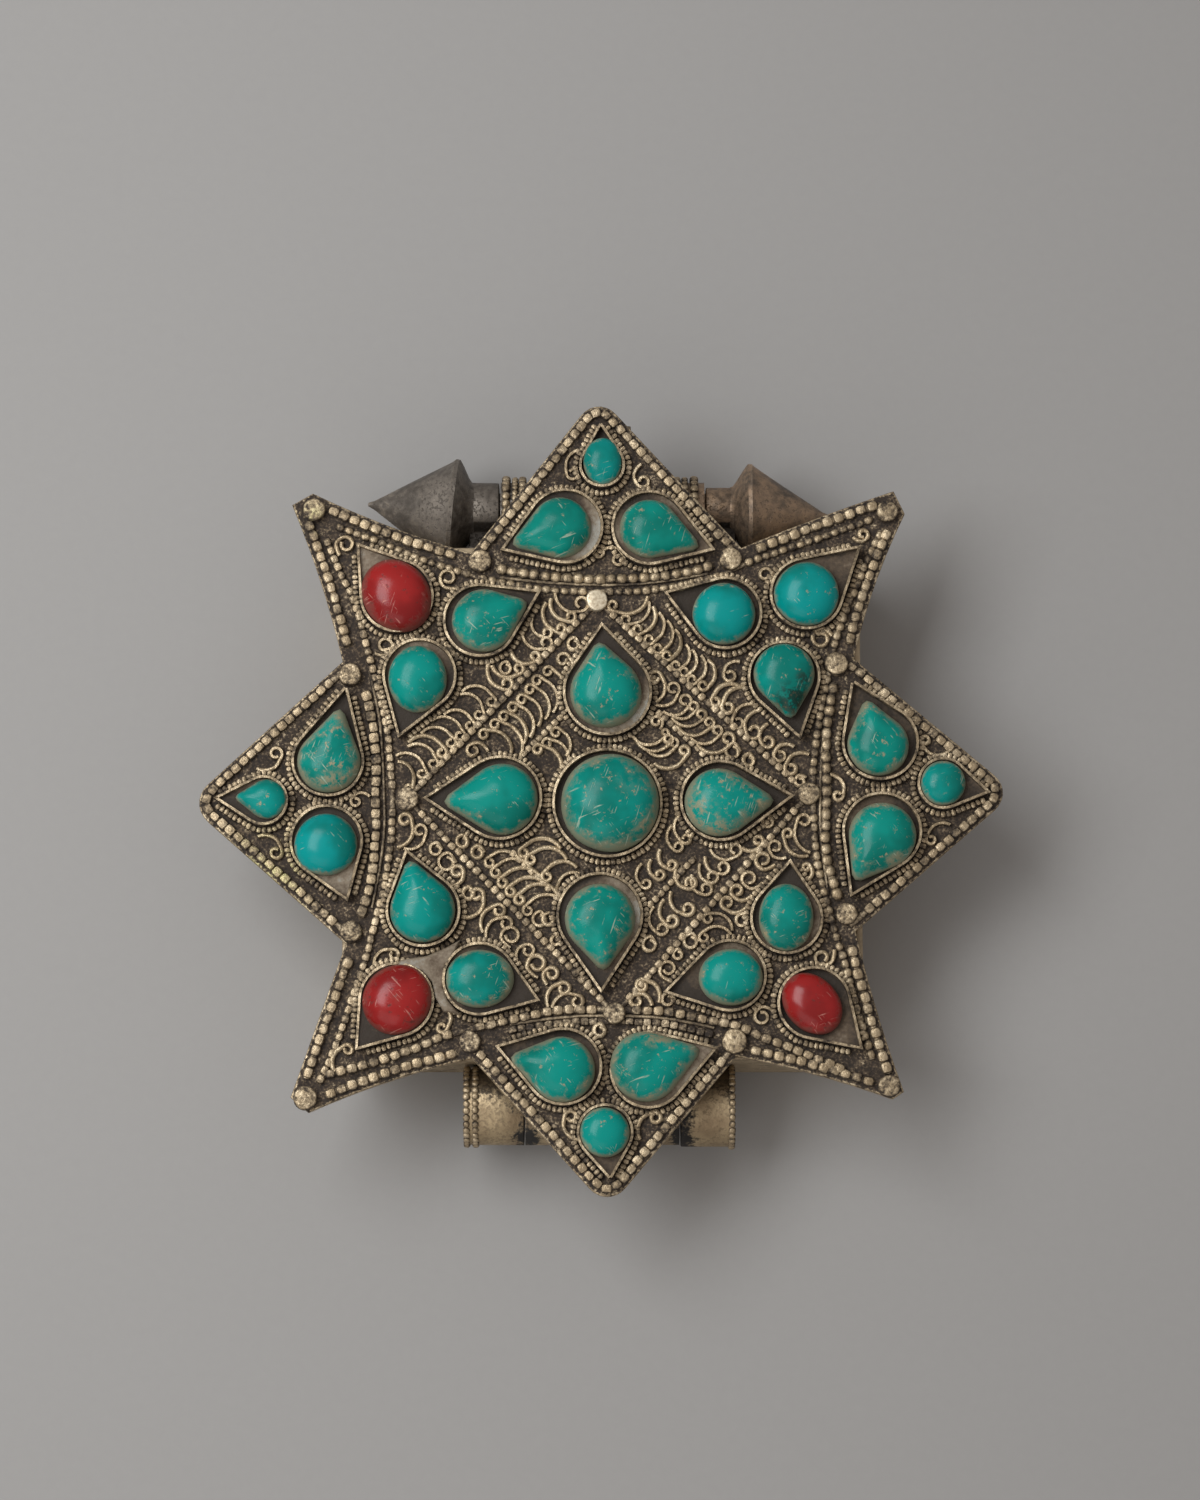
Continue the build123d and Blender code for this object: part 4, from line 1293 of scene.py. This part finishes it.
def addBed(shape, item, number, layer):
    before = set(shape.verts)
    ring = bmesh.ops.create_circle(shape, cap_ends=True, segments=bed["steps"], radius=mm)["verts"]
    face = ring[0].link_faces[0]
    for vert, seat in zip(ring, seats(item, -strips["thick"] / 2, bed["steps"])):
        vert.co = seat
    for width in bed["rings"]:
        bmesh.ops.inset_region(shape, faces=[face], thickness=width * mm, depth=0, use_even_offset=True)
    fresh = [v for v in shape.verts if v not in before]
    low, fuller = bed["height"]
    perMetre, lump = bed["lump"]
    byFill, bySide, byLump = bed["level"]
    for vert in fresh:
        rough = noise.noise(vert.co * perMetre + Vector((number, 0, 0)))
        climb = bed["climb"] if vert in ring else 0
        vert.co.z = plateTop + (low + (fuller + climb) * item["fill"] + rough * lump) * mm
        side = 0
        if item["pale"] is not None:
            out = vert.co - flat(item["at"])
            side = math.cos(math.atan2(out.y, out.x) - math.radians(item["pale"])) - bed["paleFrom"]
        # emptier, lower beds get a darker level: dirt and painted shade; one side of some beds is pale cement
        vert[layer] = clamped(item["fill"] * byFill + side * bySide + rough * byLump)
    made = bmesh.ops.extrude_face_region(shape, geom=list({f for v in fresh for f in v.link_faces}))["geom"]
    for vert in only(made, BMVert):
        vert.co.z = plateTop + bed["foot"] * mm


def addSpill(shape, layer):
    before = set(shape.verts)
    verts = [shape.verts.new(flat(onPlate(spot), plateTop + bed["foot"] * mm)) for spot in spill["outline"]]
    raised = bmesh.ops.extrude_face_region(shape, geom=[shape.faces.new(verts)])["geom"]
    bmesh.ops.translate(shape, verts=only(raised, BMVert), vec=(0, 0, spill["height"] * mm))
    rounded(shape, only(raised, BMEdge), spill["round"], 3, clamp=True)
    made = {f for v in shape.verts if v not in before for f in v.link_faces}
    gridded(shape, [max(made, key=lambda f: f.calc_center_median().z)], spill["pitch"])
    perMetre, lump = spill["lump"]
    for vert in set(shape.verts) - before:
        rough = noise.noise(vert.co * perMetre)
        vert[layer] = spill["level"][0] + rough * spill["level"][1]
        if vert.co.z > plateTop + spill["topFrom"] * mm:
            vert.co.z += rough * lump * mm


def makeCementBeds():
    shape = bmesh.new()
    layer = layerOf(shape, "level")
    for number, item in enumerate(allSettings):
        addBed(shape, item, number, layer)
    addSpill(shape, layer)
    bmesh.ops.recalc_face_normals(shape, faces=shape.faces)
    swayAll(shape)
    dress("settingCement", shape, cement, "stone_bedding", sharpFrom=60)


# stones: low domes, round, oval or drawn out to a blunt point
stones = {
    "foot": 1.3,  # mm above the plate
    "dome": 0.74,  # share of the radius
    "swell": 0.86,
    "oval": 1.3,  # a stone up to this many times as long as wide is an oval
    "nose": 0.2,  # share of the radius
    "dent": (190, 0.09),  # per metre, and mm
    "rimFade": 1.3,
}


def stoneReach(item, angle):
    radius = item["stone"]
    tip = item["tip"]
    if tip <= radius:
        return radius
    bend = math.remainder(angle, 2 * math.pi)
    if tip < stones["oval"] * radius:
        return radius * tip / math.hypot(tip * math.sin(bend), radius * math.cos(bend))
    nose = stones["nose"] * radius
    far = tip - nose
    lean = math.acos((radius - nose) / far)
    if abs(bend) >= lean:
        return radius
    reach = radius / math.cos(lean - abs(bend))
    across = far * math.sin(abs(bend))
    if across < nose:  # round nose at the end of the drop
        reach = min(reach, far * math.cos(bend) + math.sqrt(nose * nose - across * across))
    return reach


def addStone(shape, item, number):
    rim, tone, dust = (layerOf(shape, name) for name in ("rim", "tone", "dust"))
    made = bmesh.ops.create_uvsphere(shape, u_segments=56, v_segments=28, radius=1)["verts"]
    faces = {f for v in made for f in v.link_faces}
    edges = {e for v in made for e in v.link_edges}
    cut = bmesh.ops.bisect_plane(shape, geom=[*made, *edges, *faces], dist=1e-5, plane_co=(0, 0, 0),
                                 plane_no=(0, 0, 1), clear_inner=True)
    base = only(cut["geom_cut"], BMEdge)
    bmesh.ops.edgenet_fill(shape, edges=base)
    for vert in {v for v in made if v.is_valid} | {v for e in base for v in e.verts}:
        angle = math.atan2(vert.co.y, vert.co.x)
        out = math.hypot(vert.co.x, vert.co.y) ** stones["swell"]
        rise = vert.co.z
        spot = item["stoneAt"] + around(angle + item["tipToward"], stoneReach(item, angle) * out)
        vert.co = flat(spot, plateTop + (stones["foot"] + item["stone"] * stones["dome"] * rise) * mm)
        dent(vert, *stones["dent"], number * 3)
        vert[rim] = (1 - rise) ** stones["rimFade"]
        vert[tone] = item["tone"]
        vert[dust] = item["dust"]


def makeStones():
    number = 0
    for name, items in settings.items():
        groups = [("turquoise", items, turquoise)]
        if name in coralCorners:
            groups = [("turquoise", items[:-1], turquoise), ("coral", items[-1:], coral)]
        for kind, chosen, material in groups:
            shape = bmesh.new()
            for item in chosen:
                number += 1
                addStone(shape, item, number)
            bmesh.ops.recalc_face_normals(shape, faces=shape.faces)
            ending = "s" if kind == "turquoise" and name != "centre" else ""
            dress(name + kind.title(), shape, material, f"{name}_{kind}{ending}", sharpFrom=70)


makeStrips()
makeBeads("footBeads", "bezel_foot_wires", 41, [(footLine(item), foot) for item in allSettings])
makeCementBeds()
makeStones()
print("settings: %d" % len(allSettings))


# cones on the ends of the upper tube, a little crooked
cones = {
    "neckAt": 15.2,
    "leftCone": {"side": -1, "radius": 7.0, "neckRadius": 3.55, "baseAt": 19.0, "tipAt": 30.0,
                 "baseLift": -0.35, "tipLift": 0.85, "slant": 0.10, "node": "left_cone_finial"},
    "rightCone": {"side": 1, "radius": 6.0, "neckRadius": 2.9, "baseAt": 18.7, "tipAt": 28.9,
                  "baseLift": 0.05, "tipLift": -0.75, "slant": 0.0, "node": "right_cone_finial"},
    "flare": ((0, 0), (0.28, 0.0), (0.42, 0.07), (0.53, 0.23), (0.64, 0.44), (0.75, 0.65), (0.86, 0.84),
              (0.95, 0.975)),  # shares of the way from the neck to the base, and of the rise
    "taper": (0.07, 0.2, 0.4, 0.6, 0.8, 0.93),
    # the flare's low wear darkens it: painted shade on the concave flank
    "flarePaintedShade": 0.09,
    "coneWear": 0.14,
    # pale band along the base rim: rubbed edge and painted highlight on the ridge
    "edgeWearAndHighlight": (0.9, 0.2, 0.38),  # most, mm past the base, and mm over which 1 is lost
    "dent": (160, 0.14),  # per metre, and mm
}


def makeCone(name):
    look = cones[name]
    shape = bmesh.new()
    neck, base, radius = cones["neckAt"], look["baseAt"], look["radius"]
    rise = radius - look["neckRadius"]
    flare = base - neck
    run = look["tipAt"] - base
    profile = [(neck, 0.4)]
    profile += [(neck + flare * along, look["neckRadius"] + rise * up) for along, up in cones["flare"]]
    profile += [(base + 0.03 * run, radius - 0.02)]
    profile += [(base + run * share, radius * (1.01 - share)) for share in cones["taper"]]
    profile += [(look["tipAt"] - 0.05, 0.25), (look["tipAt"], 0.0)]
    verts = [shape.verts.new((look["side"] * x * mm, hingeY, hingeZ + r * mm)) for x, r in profile]
    edges = [shape.edges.new(pair) for pair in zip(verts, verts[1:])]
    bmesh.ops.spin(shape, geom=verts + edges, cent=(0, hingeY, hingeZ), axis=(1, 0, 0), angle=2 * math.pi,
                   steps=56, use_merge=True)
    bmesh.ops.remove_doubles(shape, verts=shape.verts, dist=0.01 * mm)
    bmesh.ops.recalc_face_normals(shape, faces=shape.faces)
    layer = layerOf(shape)
    most, past, fade = cones["edgeWearAndHighlight"]
    for vert in shape.verts:
        out = abs(vert.co.x) / mm
        plain = cones["flarePaintedShade"] if out < base else cones["coneWear"]
        # past the base the wear rises to a pale band along the rim: rubbed edge and painted highlight
        vert[layer] = max(plain, most - abs(out - base - past) / fade)
        toBase = min(1, (out - neck) / flare)
        toTip = max(0, (out - base) / run)
        vert.co.x += look["slant"] * (vert.co.y - hingeY) * toBase
        vert.co.y += (look["baseLift"] * toBase + (look["tipLift"] - look["baseLift"]) * toTip) * mm
        dent(vert, *cones["dent"])
    dress(name, shape, darkMetal, look["node"], "tray", 38)


makeCone("leftCone")
makeCone("rightCone")


# beaded collars round a tube along x: place along it, bead size and radius, mm
collars = {
    "sleeve": ((-12.3, 1.05, 3.95), (-11.15, 0.75, 3.95), (-10.2, 0.95, 3.95),
               (9.5, 0.95, 3.95), (10.5, 0.8, 3.95), (11.7, 1.05, 3.95)),
    "clasp": ((-16.95, 0.84, 4.72), (-15.85, 0.84, 4.72), (16.15, 0.84, 4.92)),
    "pitch": 1.04,  # bead sizes
    "slip": 0.07,  # share of the pitch
    "sizeSpread": (0.92, 1.06),
    "squash": (1, 1.04, 0.9),
    "wear": 0.8,
}


def makeCollars(name, group, y, z, body, node, seed):
    shape = bmesh.new()
    rng = random.Random(seed)
    slip = collars["slip"]
    for x, size, radius in collars[group]:
        count = round(2 * math.pi * radius / (size * collars["pitch"]))
        for index in range(count):
            turn = Matrix.Rotation(2 * math.pi * (index + rng.uniform(-slip, slip)) / count, 4, "X")
            place = Matrix.Translation((x * mm, y, z)) @ turn @ Matrix.Translation((0, 0, radius * mm))
            grow = size * mm * rng.uniform(*collars["sizeSpread"])
            sizes = [grow * share for share in collars["squash"]]
            addBead(shape, beads["ball"], place, sizes, collars["wear"])
    dress(name, shape, wornMetal, node, body)


makeCollars("sleeveCollars", "sleeve", hingeY, hingeZ, "lid", "sleeve_rings", 51)
makeCollars("claspCollars", "clasp", claspY, claspZ, "tray", "clasp_rings", 52)


# plain sheet and tube pieces: the solid's own shape with its edges eased; the last two values are the easing
# in mm and the wear
plainPieces = (
    ("hingeSleeve", "hinge_sleeve", "lid", darkMetal, "dark_metal", 0.15, 0.35),
    ("leftNeck", "left_hinge_knuckle", "tray", darkMetal, "dark_metal", 0.15, 0.12),
    ("rightNeck", "right_hinge_knuckle", "tray", darkMetal, "dark_metal", 0.15, 0.085),
    ("claspSleeve", "clasp_sleeve", "lid", paleBrass, "pale_brass", 0.15, 0.4),
    ("leftClasp", "left_clasp_knuckle", "tray", paleBrass, "pale_brass", 0.15, 0.4),
    ("rightClasp", "right_clasp_knuckle", "tray", paleBrass, "pale_brass", 0.15, 0.4),
    ("hangingStrap", "hanging_loop", "lid", wornMetal, "antique_metal", 0.12, 0.55),
    ("backSheet", "back_plate", "tray", sheetMetal, "plain_metal", 0.25, 0.4),
    ("wallStrip", "box_wall", "tray", sheetMetal, "plain_metal", 0.18, 0.4),
    ("lidRim", "lid_flange", "lid", sheetMetal, "plain_metal", 0.12, 0.4),
    ("hingePin", "hinge_pin", "tray", darkMetal, "dark_metal", 0.1, 0.3),
)
leafBehind = 2.1  # mm from the hinge line to the dark leaf under each neck

# tubes that have been beaten fatter: line of the axis, the tube's reach round it in mm, growth and right end
fatter = {
    "leftNeck": (hingeY, hingeZ, 3.1, 1.22, 18.0),
    "claspSleeve": (claspY, claspZ, 4.5, 1.08, 18.0),
    "leftClasp": (claspY, claspZ, 4.5, 1.08, 18.0),
    "rightClasp": (claspY, claspZ, 4.5, 1.13, 16.45),
}
beaten = {"skin": 0.8, "dent": (120, 0.12)}  # share of the reach where the wall begins; per metre, and mm


def softenedCopy(node, width):
    shape = bmesh.new()
    shape.from_mesh(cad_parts[node].data)
    bmesh.ops.remove_doubles(shape, verts=shape.verts, dist=easing["merge"] * mm)
    level, sharp = math.radians(easing["flat"]), math.radians(easing["sharp"])
    bmesh.ops.dissolve_limit(shape, angle_limit=level, verts=shape.verts, edges=shape.edges)
    edges = [e for e in shape.edges if len(e.link_faces) == 2 and e.calc_face_angle(0) > sharp]
    rounded(shape, edges, width, 2, clamp=True)
    return shape


def fatten(shape, y, z, reach, growth, end):
    perMetre, depth = beaten["dent"]
    for vert in shape.verts:
        vert.co.x = min(vert.co.x, end * mm)
        out = Vector((0, vert.co.y - y, vert.co.z - z))
        if beaten["skin"] * reach * mm < out.length < reach * mm:
            vert.co += out * (growth - 1) + out.normalized() * noise.noise(vert.co * perMetre) * depth * mm


def makePlainPieces():
    for name, node, body, material, slot, ease, wear in plainPieces:
        shape = softenedCopy(node, ease)
        if name in fatter:
            fatten(shape, *fatter[name])
        layer = layerOf(shape)
        for vert in shape.verts:
            isLeaf = name.endswith("Neck") and vert.co.y < hingeY - leafBehind * mm
            vert[layer] = 0 if isLeaf else wear
        dress(name, shape, material, node, body, 35)


makePlainPieces()
print("tubes, box and cones: made")


# floor and light
floorLook = {"colour": (0.355, 0.347, 0.338), "shade": 0.94, "fibre": 700, "roughness": 0.85, "half": 2.0}


def makeFloor():
    shape = bmesh.new()
    bmesh.ops.create_grid(shape, x_segments=1, y_segments=1, size=floorLook["half"])
    mesh = meshFrom("floor", shape)
    floor = linked("floor", mesh)
    finish = Finish("paperFloor")
    shaded = [channel * floorLook["shade"] for channel in floorLook["colour"]]
    colour = finish.mix(finish.speckle(floorLook["fibre"], 4, 0.7), floorLook["colour"], shaded)
    mesh.materials.append(finish.done(Base_Color=colour, Roughness=floorLook["roughness"]))


lamps = {
    "key": {"at": (-0.235, 0.092, 0.385), "aim": (0.0, 0.0, 0.01), "size": (0.40, 0.23), "watts": 1.53,
            "colour": (0.965, 0.985, 1.0)},
    "fill": {"at": (-0.16, -0.34, 0.26), "aim": (0.0, 0.0, 0.01), "size": (0.40, 0.30), "watts": 0.3,
             "colour": (1.0, 0.97, 0.94)},
}
roomLight = {"colour": (1.0, 0.945, 0.915), "horizon": 0.23, "overhead": 0.455}


def makeLight():
    for name, look in lamps.items():
        data = bpy.data.lights.new(name, "AREA")
        data.shape = "RECTANGLE"
        data.size, data.size_y = look["size"]
        data.energy = look["watts"]
        data.color = look["colour"]
        lamp = linked(name, data)
        lamp.location = look["at"]
        lamp.rotation_euler = (Vector(look["aim"]) - Vector(look["at"])).to_track_quat("-Z", "Y").to_euler()
    world = bpy.data.worlds.new("room")
    bpy.context.scene.world = world
    world.use_nodes = True
    nodes = world.node_tree.nodes
    links = world.node_tree.links
    place = nodes.new("ShaderNodeTexCoord")
    split = nodes.new("ShaderNodeSeparateXYZ")
    bright = nodes.new("ShaderNodeMapRange")
    bright.inputs["To Min"].default_value = roomLight["horizon"]
    bright.inputs["To Max"].default_value = roomLight["overhead"]
    links.new(place.outputs["Generated"], split.inputs[0])
    links.new(split.outputs["Z"], bright.inputs["Value"])
    links.new(bright.outputs[0], nodes["Background"].inputs["Strength"])
    nodes["Background"].inputs["Color"].default_value = (*roomLight["colour"], 1)
    bpy.context.scene.view_settings.view_transform = "Standard"


makeFloor()
makeLight()
print("floor and light: made")
